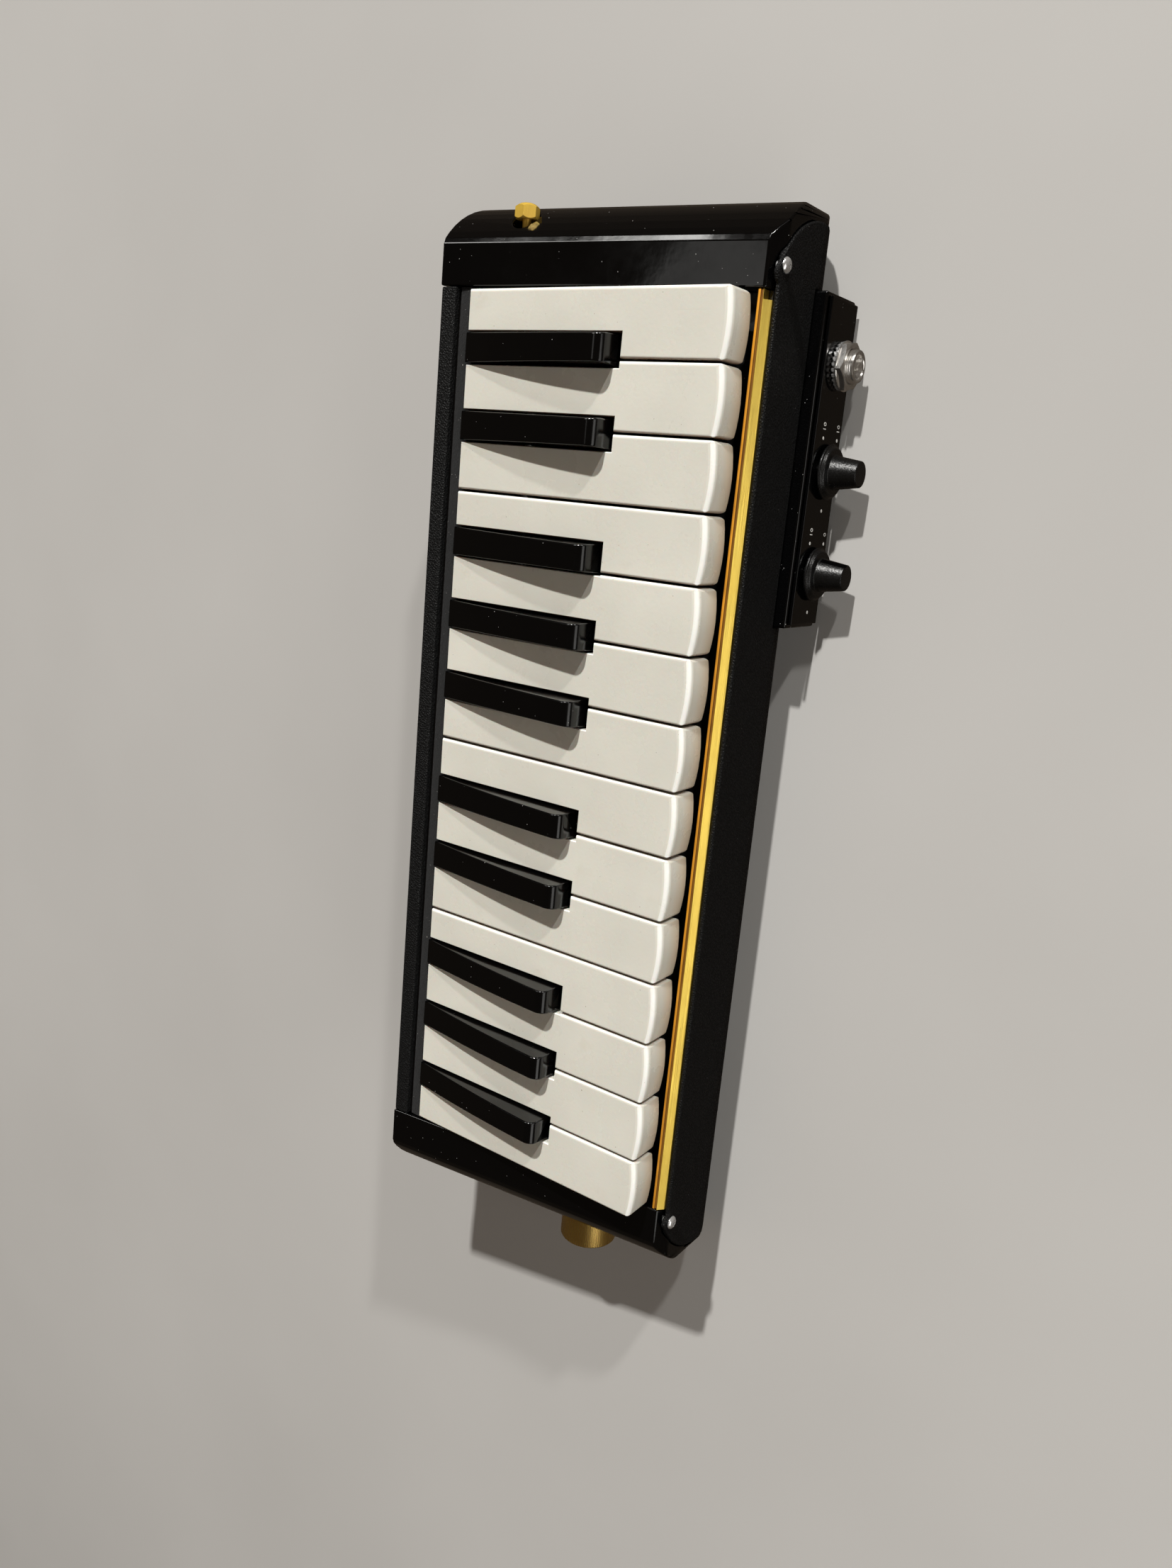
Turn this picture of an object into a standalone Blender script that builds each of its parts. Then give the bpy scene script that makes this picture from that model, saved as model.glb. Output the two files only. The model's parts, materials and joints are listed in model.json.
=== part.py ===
"""Bass melodica: a 24-note wind keyboard with a pickup control box, lying on its feet with the keys up.

Places are given in the keyboard's own coordinates, which a parent empty carries:
X = 0 at the low end of the keys and rises towards the high notes, Y = 0 at the front of the
white keys and rises towards the rear, Z = 0 on top of the white keys. Units are metres.
"""

import math

import bmesh
import bpy
from mathutils import Matrix, Vector

MM = 0.001

# Gaps between pieces that touch, and running clearances
GAP = 0.3 * MM
KEY_GAP = 0.8 * MM
SHAFT_CLEARANCE = 0.15 * MM

# Keyboard
NOTES = ["F", "F#", "G", "G#", "A", "A#", "B", "C", "C#", "D", "D#", "E"] * 2
WHITE_COUNT = sum("#" not in note for note in NOTES)
WHITE_PITCH = 20.0 * MM
WHITE_LENGTH = 90.3 * MM
WHITE_LIP = 11.0 * MM
WHITE_LIP_THICKNESS = 2.2 * MM
WHITE_PLATE = 3.0 * MM
WHITE_FRONT_BOW = 1.0 * MM
BLACK_FRONT = 35.2 * MM
BLACK_FRONT_GAP = 1.8 * MM
BLACK_NOSE_SLOPE = 0.5 * MM
BLACK_NOSE_RADIUS = 3.3 * MM
BLACK_HEIGHT = 6.9 * MM
BLACK_REAR_HEIGHT = 0.5 * MM
BLACK_CROWN = 0.83 * MM
BLACK_BASE_WIDTH = 8.8 * MM
BLACK_TOP_WIDTH = 7.65 * MM
BLACK_SIDE_GAP = 0.5 * MM
# How far each black key stands from the gap between its two white neighbours
BLACK_OFFSET = {"F#": -2.2 * MM, "G#": 1.1 * MM, "A#": 4.2 * MM, "C#": -0.4 * MM, "D#": 2.6 * MM}
KEYBOARD_LENGTH = WHITE_COUNT * WHITE_PITCH

# Key levers, their shaft and their pallets
PIVOT_Y = WHITE_LENGTH - 20.3 * MM
PIVOT_Z = -9.0 * MM
SHAFT_RADIUS = 1.5 * MM
LEVER_WIDTH = 7.0 * MM
LEVER_FRONT = 5.0 * MM
LEVER_BOTTOM = -11.5 * MM
LEVER_TAIL_END = WHITE_LENGTH + 6.7 * MM
TAIL_TOP = -8.2 * MM
TAIL_BOTTOM = -10.6 * MM
PALLET_SLOPE = 2.0 * MM
PALLET_FRONT = WHITE_LENGTH - 10.8 * MM
PALLET_REAR = WHITE_LENGTH + 4.2 * MM
PALLET_BOTTOM = -15.0 * MM

# Felt strip behind the keys, and the rail that carries it
FELT_FRONT = WHITE_LENGTH + GAP
FELT_REAR = FELT_FRONT + 4.5 * MM
FELT_TOP = -1.0 * MM
FELT_THICKNESS = 2.0 * MM
RAIL_THICKNESS = 1.9 * MM

# Case
RIM_FRONT = FELT_REAR + GAP
RIM_TOP = 1.0 * MM
RIM_DEPTH = 2.5 * MM
CASE_FRONT = -7.5 * MM
CASE_REAR = RIM_FRONT + 5.6 * MM
CASE_BOTTOM = -51.0 * MM
CASE_CORNER = 15.0 * MM
CASE_WALL = 2.0 * MM
FRONT_WALL_TOP = -12.9 * MM
REBATE_DEPTH = 0.6 * MM

# Gold trim in front of the keys
TRIM_TOP = -11.0 * MM
TRIM_INNER = -2.2 * MM
TRIM_CREST = -4.0 * MM
TRIM_OUTER = -5.8 * MM
TRIM_BAND_BOTTOM = -13.2 * MM
TRIM_BOTTOM = -14.0 * MM
# Its outer band stops short of the high end, beside the cap's rounded corner
TRIM_BAND_INSET = 2.6 * MM

# End caps
CAP_GAP = 0.5 * MM
BEZEL_WIDTH = 13.0 * MM
BEZEL_FRONT_Y = -4.0 * MM
BEZEL_FRONT_Z = -11.0 * MM
BEZEL_REAR_Z = 1.2 * MM
CAP_FRONT = -7.0 * MM
CAP_CHAMFER_DROP = 5.0 * MM
CAP_REAR = CASE_REAR + 0.4 * MM
END_ARC_RADIUS = 32.0 * MM
END_ARC_START = math.radians(35.5)
END_ARC_STOP = math.radians(85.0)
CAP_FRONT_CORNER = 6.0 * MM
CAP_REAR_CORNER = 2.0 * MM
CAP_WALL = 2.4 * MM
CAP_SIDE_BOTTOM = -20.0 * MM
LEDGE_REACH = 8.0 * MM
# The front wall laps over the cap's front and leaves this much of it bare
LAP_BORDER = 5.0 * MM
LAP_START = 1.5 * MM
LAP_RISE = 2.0 * MM
LAP_CORNER = 3.0 * MM

# Key bed
BED_TOP = -17.0 * MM
BED_THICKNESS = 1.5 * MM
GUIDE_THICKNESS = 1.3 * MM
GUIDE_CLEARANCE = 0.4 * MM
GUIDE_DEPTH = 3.0 * MM
GUIDE_TOP = -8.3 * MM
WHITE_GUIDE_Y = 8.0 * MM
BLACK_GUIDE_Y = 40.0 * MM
BRACKET_THICKNESS = 1.6 * MM
BRACKET_TOP = -6.4 * MM
BRACKET_DEPTH = 6.0 * MM
BRACKET_EVERY = 4

# Reeds and wind chamber
BLOCK_FRONT = 16.5 * MM
BLOCK_STEP_Y = PALLET_FRONT - 3.0 * MM
BED_REAR = BLOCK_STEP_Y - 2.5 * MM
BLOCK_BOTTOM = -24.0 * MM
CELL_WIDTH = 7.0 * MM
CELL_FRONT = 24.0 * MM
CELL_REAR = PALLET_REAR - 1.5 * MM
CELL_DEPTH = 4.0 * MM
VALVE_WIDTH = 5.0 * MM
VALVE_FRONT = PALLET_FRONT + 2.5 * MM
VALVE_REAR = PALLET_REAR - 2.5 * MM
PLATE_THICKNESS = 1.0 * MM
PLATE_MARGIN = 1.5 * MM
TONGUE_WIDTH = 3.4 * MM
TONGUE_THICKNESS = 0.4 * MM
TONGUE_LONGEST = 58.0 * MM
TONGUE_SHORTEST = 34.0 * MM
TONGUE_FOOT = 5.0 * MM
FOOT_BAR_DEPTH = 3.0 * MM
SLOT_CLEARANCE = 0.4 * MM
GASKET_THICKNESS = 0.8 * MM
CHAMBER_WALL = 1.8 * MM
CHAMBER_CASE_GAP = 0.4 * MM
CHAMBER_BOTTOM = CASE_BOTTOM + CASE_WALL + 3.0 * MM

# Springs
SPRING_THICKNESS = 0.4 * MM
FINGER_WIDTH = 3.0 * MM
FINGER_FRONT = WHITE_LENGTH + 0.7 * MM
SPRING_ROOT_FRONT = WHITE_LENGTH + 3.7 * MM

# Mouthpiece socket
SOCKET_PROUD = 11.2 * MM
SOCKET_Y = 35.0 * MM
SOCKET_Z = CASE_BOTTOM + 17.4 * MM
SOCKET_RADIUS = 10.0 * MM
SOCKET_MOUTH_RADIUS = 7.0 * MM
SOCKET_MOUTH_DEPTH = 13.0 * MM
SOCKET_BORE_RADIUS = 4.5 * MM
SPIGOT_RADIUS = 6.0 * MM
SPIGOT_END = 3.5 * MM

# Moisture drain: its button stands on the cap's end arc, and its valve lower down in the wind chamber
DRAIN_TIP_INSET = 1.8 * MM
DRAIN_Y = CASE_REAR - 23.5 * MM
DRAIN_HEAD_Z = -9.0 * MM
DRAIN_Z = CASE_BOTTOM + 22.0 * MM
DRAIN_RADIUS = 3.8 * MM
DRAIN_HEAD_LENGTH = 4.7 * MM
DRAIN_HEAD_CHAMFER = 1.0 * MM
DRAIN_HEAD_TURN = -11.0
DRAIN_STEM_RADIUS = 1.3 * MM
DRAIN_ARM_PLACE = 8.0 * MM
DRAIN_ARM_THICKNESS = 2.4 * MM
DRAIN_ARM_WIDTH = 5.0 * MM
DRAIN_DISC_RADIUS = 2.5 * MM
DRAIN_DISC_THICKNESS = 1.2 * MM
DRAIN_SPRING_RADIUS = 2.6 * MM
DRAIN_SPRING_WIRE = 0.35 * MM
DRAIN_SPRING_TURNS = 6

# Control box
BOX_RIGHT = KEYBOARD_LENGTH + 4.0 * MM
BOX_LEFT = BOX_RIGHT - 95.5 * MM
BOX_BOTTOM = CASE_BOTTOM - 4.3 * MM
BOX_TOP = BOX_BOTTOM + 19.9 * MM
BOX_FACE = CASE_FRONT - 5.0 * MM
BOX_REAR = BOX_FACE + 20.2 * MM
BOX_WALL = 1.6 * MM
PANEL_THICKNESS = 1.0 * MM
PANEL_INSET = 1.2 * MM
CONTROL_Z = BOX_BOTTOM + 8.1 * MM
CONTROL_PITCH = 30.1 * MM
FIRST_CONTROL_X = BOX_LEFT + 16.4 * MM

# Knobs and their potentiometers
KNOB_PANEL_GAP = 0.8 * MM
KNOB_SKIRT_RADIUS = 8.1 * MM
KNOB_RIM_RADIUS = 7.1 * MM
KNOB_SKIRT_HEIGHT = 1.9 * MM
KNOB_BARREL_RADIUS = 5.1 * MM
KNOB_TIP_RADIUS = 3.85 * MM
KNOB_HEIGHT = 10.2 * MM
KNOB_FILLET = 1.0 * MM
KNOB_GROOVE = 2.0 * MM
KNOB_GROOVE_DEPTH = 0.5 * MM
# Where the pointers stand, from +X towards +Z: the volume at its highest mark, the balance in the middle
VOLUME_POINTER = math.radians(26.0)
BALANCE_POINTER = math.radians(180.0)
POT_SHAFT_RADIUS = 2.0 * MM
POT_BUSHING_RADIUS = 3.0 * MM
POT_BODY_RADIUS = 6.0 * MM
POT_BODY_DEPTH = 9.0 * MM

# Output jack
JACK_BARREL_RADIUS = 4.65 * MM
JACK_BORE_RADIUS = 3.3 * MM
JACK_PROUD = 6.0 * MM
JACK_NUT_FLATS = 12.7 * MM
JACK_NUT_THICKNESS = 2.4 * MM
JACK_NUT_TURN = 40.7
JACK_FLANGE_RADIUS = 7.1 * MM
JACK_FLANGE_THICKNESS = 0.5 * MM
JACK_WASHER_RADIUS = 6.8 * MM
JACK_WASHER_THICKNESS = 0.9 * MM
JACK_BODY_WIDTH = 15.0 * MM
JACK_BODY_HEIGHT = 12.0 * MM
JACK_BODY_DEPTH = 15.0 * MM

# Circuit board, pickups and wires
BOARD_THICKNESS = 1.6 * MM
BOARD_LENGTH = 52.0 * MM
BOARD_HEIGHT = 12.0 * MM
PICKUP_RADIUS = 5.0 * MM
PICKUP_DEPTH = 6.0 * MM
PICKUP_X = (BOX_LEFT - 118.5 * MM, BOX_LEFT - 28.5 * MM)
PICKUP_BELOW_CHAMBER_TOP = 7.6 * MM
PICKUP_BAR_HEIGHT = 6.0 * MM
PICKUP_BAR_THICKNESS = 2.0 * MM
WIRE_RADIUS = 0.9 * MM

# Feet, bottom cover and screws
FOOT_WIDTH = 12.0 * MM
FOOT_THICKNESS = 3.7 * MM
FOOT_ROUNDING = 1.0 * MM
STUD_RADIUS = 1.6 * MM
STUD_LENGTH = 5.0 * MM
STUD_INSET = 10.0 * MM
COVER_THICKNESS = 1.2 * MM
COVER_MARGIN_X = 7.0 * MM
COVER_MARGIN_Y = 2.0 * MM
HATCH_MARGIN_X = 22.0 * MM
HATCH_MARGIN_Y = 9.0 * MM
SCREW_HEAD_RADIUS = 2.15 * MM
SCREW_HEAD_HEIGHT = 1.2 * MM
SCREW_SHANK_RADIUS = 1.2 * MM
LOW_SCREW_INSET = 4.4 * MM
HIGH_SCREW_INSET = 6.2 * MM
SCREW_Z = -14.8 * MM

ROUND_STEPS = 24
FINE_STEPS = 12

# Cutters that run right through the case reach this far
BEYOND = 200.0 * MM

# Worked out from the sizes above
HIGH_CAP_START = KEYBOARD_LENGTH + CAP_GAP
LOW_CAP_START = -CAP_GAP
ARC_WIDTH = END_ARC_RADIUS * (math.sin(END_ARC_STOP) - math.sin(END_ARC_START))
CAP_WIDTH = BEZEL_WIDTH + ARC_WIDTH
LOW_END = LOW_CAP_START - CAP_WIDTH
HIGH_END = HIGH_CAP_START + CAP_WIDTH
BEZEL_SLOPE = (BEZEL_REAR_Z - BEZEL_FRONT_Z) / (CAP_REAR - BEZEL_FRONT_Y)
WALL_INNER = CASE_FRONT + CASE_WALL
LAP_SPLIT = CASE_FRONT + CASE_CORNER
FLOOR_INNER = CASE_BOTTOM + CASE_WALL
BLOCK_REAR = CASE_REAR - CASE_WALL - CHAMBER_CASE_GAP
RAIL_TOP = FELT_TOP - FELT_THICKNESS - GAP
RAIL_BOTTOM = RAIL_TOP - RAIL_THICKNESS
BED_BOTTOM = BED_TOP - BED_THICKNESS
BLOCK_TOP = BED_BOTTOM - GAP
VALVE_SEAT = PALLET_BOTTOM - GAP
GASKET_TOP = BLOCK_BOTTOM - GAP
CHAMBER_TOP = GASKET_TOP - GASKET_THICKNESS - GAP
JACK_X = FIRST_CONTROL_X + 2 * CONTROL_PITCH
COVER_BOTTOM = CASE_BOTTOM - GAP - COVER_THICKNESS
FLOOR_Z = COVER_BOTTOM - GAP - FOOT_THICKNESS
PICKUP_Z = CHAMBER_TOP - PICKUP_BELOW_CHAMBER_TOP
SOCKET_TIP = LOW_END - SOCKET_PROUD
DRAIN_TIP = HIGH_END - DRAIN_TIP_INSET
KNOB_TIP_Y = BOX_FACE - KNOB_PANEL_GAP - KNOB_HEIGHT

# The origin is under the middle of the whole object, where it stands
ORIGIN = Vector(((SOCKET_TIP + HIGH_END) / 2, (KNOB_TIP_Y + CAP_REAR) / 2, FLOOR_Z))


def clear_scene():
    for old in list(bpy.data.objects):
        bpy.data.objects.remove(old, do_unlink=True)


clear_scene()
PARTS = bpy.data.collections.new("bass_melodica")
CUTTERS = bpy.data.collections.new("cutters")
bpy.context.scene.collection.children.link(PARTS)
bpy.context.scene.collection.children.link(CUTTERS)
BASE = bpy.data.objects.new("keyboard_corner", None)
PARTS.objects.link(BASE)
BASE.location = -ORIGIN


def material(name, color, roughness, metallic=0.0):
    made = bpy.data.materials.new(name)
    made.use_nodes = True
    shader = made.node_tree.nodes["Principled BSDF"]
    shader.inputs["Base Color"].default_value = (*color, 1.0)
    shader.inputs["Roughness"].default_value = roughness
    shader.inputs["Metallic"].default_value = metallic
    return made


LEATHERETTE = material("leatherette", (0.018, 0.018, 0.019), 0.6)
BLACK_GLOSS = material("black_gloss", (0.008, 0.008, 0.009), 0.12)
BLACK_SATIN = material("black_satin", (0.02, 0.02, 0.02), 0.45)
IVORY = material("ivory", (0.74, 0.69, 0.58), 0.3)
GOLD = material("gold", (0.83, 0.62, 0.28), 0.3, 1.0)
CHROME = material("chrome", (0.8, 0.8, 0.8), 0.15, 1.0)
STEEL = material("steel", (0.55, 0.55, 0.56), 0.35, 1.0)
BRASS = material("brass", (0.75, 0.58, 0.25), 0.4, 1.0)
FELT = material("felt", (0.02, 0.02, 0.022), 0.95)
WOOD = material("wood", (0.45, 0.3, 0.16), 0.6)
RUBBER = material("rubber", (0.02, 0.02, 0.02), 0.8)
CHAMBER_PLASTIC = material("chamber_plastic", (0.3, 0.3, 0.28), 0.5)
BOARD = material("circuit_board", (0.12, 0.28, 0.12), 0.5)


def place(name, mesh, finish, origin=(0, 0, 0), smooth=True):
    """A named piece. Its mesh is given in keyboard coordinates, and origin becomes its own origin."""
    piece = bpy.data.objects.new(name, mesh)
    mesh.transform(Matrix.Translation(-Vector(origin)))
    piece.location = origin
    piece.parent = BASE
    mesh.materials.clear()
    mesh.materials.append(finish)
    if smooth:
        mesh.shade_smooth()
        mesh.set_sharp_from_angle(angle=math.radians(30))
    PARTS.objects.link(piece)
    return piece


def as_cutter(piece):
    PARTS.objects.unlink(piece)
    CUTTERS.objects.link(piece)
    piece.hide_render = True
    piece.display_type = "WIRE"
    return piece


def boolean(piece, other, operation):
    step = piece.modifiers.new(other.name, "BOOLEAN")
    step.operation = operation
    step.object = other
    return piece


def cut(piece, *others):
    for other in others:
        if other.name not in CUTTERS.objects:
            as_cutter(other)
        boolean(piece, other, "DIFFERENCE")
    return piece


def join(piece, *others):
    for other in others:
        boolean(piece, as_cutter(other), "UNION")
    return piece


def keep_inside(piece, *others):
    for other in others:
        if other.name not in CUTTERS.objects:
            as_cutter(other)
        boolean(piece, other, "INTERSECT")
    return piece


def box_mesh(name, low, high):
    mesh = bpy.data.meshes.new(name)
    shape = bmesh.new()
    bmesh.ops.create_cube(shape, size=1.0)
    low, high = Vector(low), Vector(high)
    bmesh.ops.scale(shape, vec=high - low, verts=shape.verts)
    bmesh.ops.translate(shape, vec=(low + high) / 2, verts=shape.verts)
    shape.to_mesh(mesh)
    shape.free()
    return mesh


def box(name, low, high, finish=BLACK_SATIN, origin=(0, 0, 0)):
    return place(name, box_mesh(name, low, high), finish, origin, smooth=False)


def boxes(name, corners, finish=BLACK_SATIN):
    """One piece of several separate boxes."""
    mesh = bpy.data.meshes.new(name)
    shape = bmesh.new()
    for low, high in corners:
        shape.from_mesh(box_mesh(name, low, high))
    shape.to_mesh(mesh)
    shape.free()
    return place(name, mesh, finish, smooth=False)


def outline_mesh(name, points, low, high):
    """A flat outline in local XY with its thickness from low to high along local Z."""
    curve = bpy.data.curves.new(name, "CURVE")
    curve.dimensions = "2D"
    curve.fill_mode = "BOTH"
    curve.extrude = (high - low) / 2
    spline = curve.splines.new("POLY")
    spline.points.add(len(points) - 1)
    for target, (x, y) in zip(spline.points, points):
        target.co = (x, y, 0.0, 1.0)
    spline.use_cyclic_u = True
    return solid_of_curve(name, curve, Matrix.Translation((0, 0, (low + high) / 2)))


def solid_of_curve(name, curve, move):
    """The closed mesh of a curve, with its caps welded on."""
    holder = bpy.data.objects.new(name, curve)
    bpy.context.scene.collection.objects.link(holder)
    graph = bpy.context.evaluated_depsgraph_get()
    mesh = bpy.data.meshes.new_from_object(holder.evaluated_get(graph))
    bpy.data.objects.remove(holder)
    bpy.data.curves.remove(curve)
    mesh.name = name
    shape = bmesh.new()
    shape.from_mesh(mesh)
    bmesh.ops.remove_doubles(shape, verts=shape.verts, dist=0.001 * MM)
    bmesh.ops.recalc_face_normals(shape, faces=shape.faces)
    shape.to_mesh(mesh)
    shape.free()
    mesh.transform(move)
    return mesh


def along_x(name, yz_points, low, high, finish=BLACK_SATIN, origin=(0, 0, 0)):
    mesh = outline_mesh(name, yz_points, low, high)
    mesh.transform(Matrix(((0, 0, 1, 0), (1, 0, 0, 0), (0, 1, 0, 0), (0, 0, 0, 1))))
    return place(name, mesh, finish, origin)


def along_y(name, xz_points, low, high, finish=BLACK_SATIN, origin=(0, 0, 0)):
    mesh = outline_mesh(name, xz_points, -high, -low)
    mesh.transform(Matrix(((1, 0, 0, 0), (0, 0, -1, 0), (0, 1, 0, 0), (0, 0, 0, 1))))
    return place(name, mesh, finish, origin)


def along_z(name, xy_points, low, high, finish=BLACK_SATIN, origin=(0, 0, 0)):
    return place(name, outline_mesh(name, xy_points, low, high), finish, origin)


AXES = {
    "+X": (0, math.pi / 2, 0),
    "-X": (0, -math.pi / 2, 0),
    "-Y": (math.pi / 2, 0, 0),
    "-Z": (math.pi, 0, 0),
}


def turned(name, profile, centre, axis, finish=BLACK_SATIN, closed=False, steps=ROUND_STEPS):
    """A turned piece: (radius, height) points run down its outer side, heights along axis."""
    mesh = bpy.data.meshes.new(name)
    points = [(radius, 0, height) for radius, height in profile]
    count = len(points)
    edges = [(index, (index + 1) % count) for index in range(count if closed else count - 1)]
    mesh.from_pydata(points, edges, [])
    piece = place(name, mesh, finish, smooth=False)
    piece.location = centre
    piece.rotation_euler = AXES[axis]
    step = piece.modifiers.new("turn", "SCREW")
    step.steps = steps
    step.render_steps = steps
    step.use_merge_vertices = True
    step.merge_threshold = 0.001 * MM
    step.use_smooth_shade = True
    return piece


def rod(name, radius, centre, axis, low, high, finish=STEEL, steps=ROUND_STEPS):
    profile = [(0, high), (radius, high), (radius, low), (0, low)]
    return turned(name, profile, centre, axis, finish, steps=steps)


def ring(name, inner, outer, centre, axis, low, high, finish=STEEL, steps=ROUND_STEPS):
    profile = [(inner, high), (outer, high), (outer, low), (inner, low)]
    return turned(name, profile, centre, axis, finish, closed=True, steps=steps)


def arc(centre, radius, start, stop, steps=6):
    """Points on an arc, angles in degrees from +X of the outline, both ends included."""
    turn = [math.radians(start + (stop - start) * index / steps) for index in range(steps + 1)]
    return [(centre[0] + radius * math.cos(angle), centre[1] + radius * math.sin(angle)) for angle in turn]


def tube(name, routes, radius, finish):
    """One piece of one or more round wires, each on its own route."""
    curve = bpy.data.curves.new(name, "CURVE")
    curve.dimensions = "3D"
    curve.bevel_depth = radius
    curve.bevel_resolution = 1
    curve.use_fill_caps = True
    for route in routes:
        spline = curve.splines.new("POLY")
        spline.points.add(len(route) - 1)
        for target, point in zip(spline.points, route):
            target.co = (*point, 1.0)
    return place(name, solid_of_curve(name, curve, Matrix.Identity(4)), finish)


def smooth_route(points, per_span=4):
    """A smooth line through the route's own points (Catmull-Rom)."""
    ends = [points[0], *points, points[-1]]
    line = []
    for a, b, c, d in zip(ends, ends[1:], ends[2:], ends[3:]):
        a, b, c, d = map(Vector, (a, b, c, d))
        for index in range(per_span):
            t = index / per_span
            line.append(0.5 * (2 * b + (c - a) * t + (2 * a - 5 * b + 4 * c - d) * t * t
                               + (3 * b - a - 3 * c + d) * t ** 3))
    line.append(Vector(points[-1]))
    return line


# Where each key stands

def key_table():
    """One entry a key: note, whether it is black, its left edge and width, and its lever's centre."""
    table = []
    white = 0
    for note in NOTES:
        if "#" in note:
            centre = white * WHITE_PITCH + BLACK_OFFSET[note]
            table.append({"note": note, "black": True, "centre": centre})
        else:
            table.append({"note": note, "black": False, "left": white * WHITE_PITCH})
            white += 1
    half_slot = BLACK_BASE_WIDTH / 2 + BLACK_SIDE_GAP
    for index, key in enumerate(table):
        if key["black"]:
            continue
        low = key["left"] + KEY_GAP / 2
        high = key["left"] + WHITE_PITCH - KEY_GAP / 2
        key["low"], key["high"] = low, high
        before = table[index - 1] if index > 0 else None
        after = table[index + 1] if index + 1 < len(table) else None
        key["tail_low"] = before["centre"] + half_slot if before and before["black"] else low
        key["tail_high"] = after["centre"] - half_slot if after and after["black"] else high
        key["centre"] = (key["tail_low"] + key["tail_high"]) / 2
    return table


KEYS = key_table()
KEY_NAMES = ["key_%02d_%s" % (number, key["note"].lower().replace("#", "_sharp"))
             for number, key in enumerate(KEYS, start=1)]


def lever(name, centre, front, finish):
    """The lever under a key, with the pallet that closes its valve."""
    top = -WHITE_PLATE + 0.5 * MM
    back = WHITE_LENGTH - GAP
    profile = [
        (front, top),
        (front, LEVER_BOTTOM),
        (PALLET_FRONT - PALLET_SLOPE, LEVER_BOTTOM),
        (PALLET_FRONT, PALLET_BOTTOM),
        (PALLET_REAR, PALLET_BOTTOM),
        (PALLET_REAR, TAIL_BOTTOM),
        (LEVER_TAIL_END, TAIL_BOTTOM),
        (LEVER_TAIL_END, TAIL_TOP),
        (back, TAIL_TOP),
        (back, top),
    ]
    pivot = (centre, PIVOT_Y, PIVOT_Z)
    return along_x(name, profile, centre - LEVER_WIDTH / 2, centre + LEVER_WIDTH / 2, finish, pivot)


def bowed_front(low, high, steps=6):
    """The front edge of a white key in plan, from its low corner to its high one."""
    shares = [index / steps for index in range(steps + 1)]
    return [(low + (high - low) * share, -WHITE_FRONT_BOW * (1 - (2 * share - 1) ** 2)) for share in shares]


def white_key(name, key):
    notch = BLACK_FRONT - BLACK_FRONT_GAP
    front = bowed_front(key["low"], key["high"])
    outline = front + [
        (key["high"], notch),
        (key["tail_high"], notch),
        (key["tail_high"], WHITE_LENGTH),
        (key["tail_low"], WHITE_LENGTH),
        (key["tail_low"], notch),
        (key["low"], notch),
    ]
    outline = [point for point, last in zip(outline, outline[-1:] + outline[:-1]) if point != last]
    pivot = (key["centre"], PIVOT_Y, PIVOT_Z)
    piece = along_z(name, outline, -WHITE_PLATE, 0, IVORY, pivot)
    back = [(key["high"], WHITE_LIP_THICKNESS), (key["low"], WHITE_LIP_THICKNESS)]
    lip = along_z(name + "_lip", front + back, -WHITE_LIP, -0.5 * MM)
    join(piece, lip, lever(name + "_lever", key["centre"], LEVER_FRONT, IVORY))
    return cut(piece, SHAFT_HOLE)


def black_key_side():
    """A black key from the side: a crowned top, a rounded nose and a nearly upright front."""
    lean = BLACK_NOSE_SLOPE / BLACK_HEIGHT
    corner = Vector((BLACK_FRONT + BLACK_NOSE_SLOPE, BLACK_HEIGHT))
    rear = Vector((WHITE_LENGTH, BLACK_REAR_HEIGHT))

    def crowned(share):
        return corner.lerp(rear, share) + Vector((0, 4 * BLACK_CROWN * share * (1 - share)))

    up = Vector((lean, 1)).normalized()
    back = (crowned(0.001) - corner).normalized()
    whole = up.angle(back)
    reach = BLACK_NOSE_RADIUS * math.tan(whole / 2)
    start = corner - up * reach
    middle = start + Vector((up.y, -up.x)) * BLACK_NOSE_RADIUS
    first = 180 - math.degrees(math.atan(lean))
    nose = arc(middle, BLACK_NOSE_RADIUS, first, first - math.degrees(whole))
    top = [crowned(share) for share in (0.14, 0.23, 0.32, 0.41, 0.5, 0.59, 0.68, 0.77, 0.86, 0.93, 1.0)]
    foot = Vector((BLACK_FRONT - lean * WHITE_PLATE, -WHITE_PLATE))
    return [foot, *nose, *top, Vector((WHITE_LENGTH, -WHITE_PLATE))]


def black_key(name, key):
    centre = key["centre"]
    half = BLACK_BASE_WIDTH / 2
    draft = (BLACK_BASE_WIDTH - BLACK_TOP_WIDTH) / 2 / BLACK_HEIGHT
    pivot = (centre, PIVOT_Y, PIVOT_Z)
    piece = along_x(name, black_key_side(), centre - half, centre + half, BLACK_GLOSS, pivot)
    for corner in piece.data.vertices:
        height = corner.co.z + PIVOT_Z
        corner.co.x -= math.copysign(draft * height, corner.co.x)
    join(piece, lever(name + "_lever", centre, BLACK_FRONT + MM, BLACK_GLOSS))
    return cut(piece, SHAFT_HOLE)


SHAFT_HOLE = as_cutter(rod("shaft_hole", SHAFT_RADIUS + SHAFT_CLEARANCE, (0, PIVOT_Y, PIVOT_Z), "+X",
                           -CAP_WIDTH, KEYBOARD_LENGTH + CAP_WIDTH, steps=FINE_STEPS))


def make_keys():
    for name, key in zip(KEY_NAMES, KEYS):
        if key["black"]:
            black_key(name, key)
        else:
            white_key(name, key)


# Case

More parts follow.
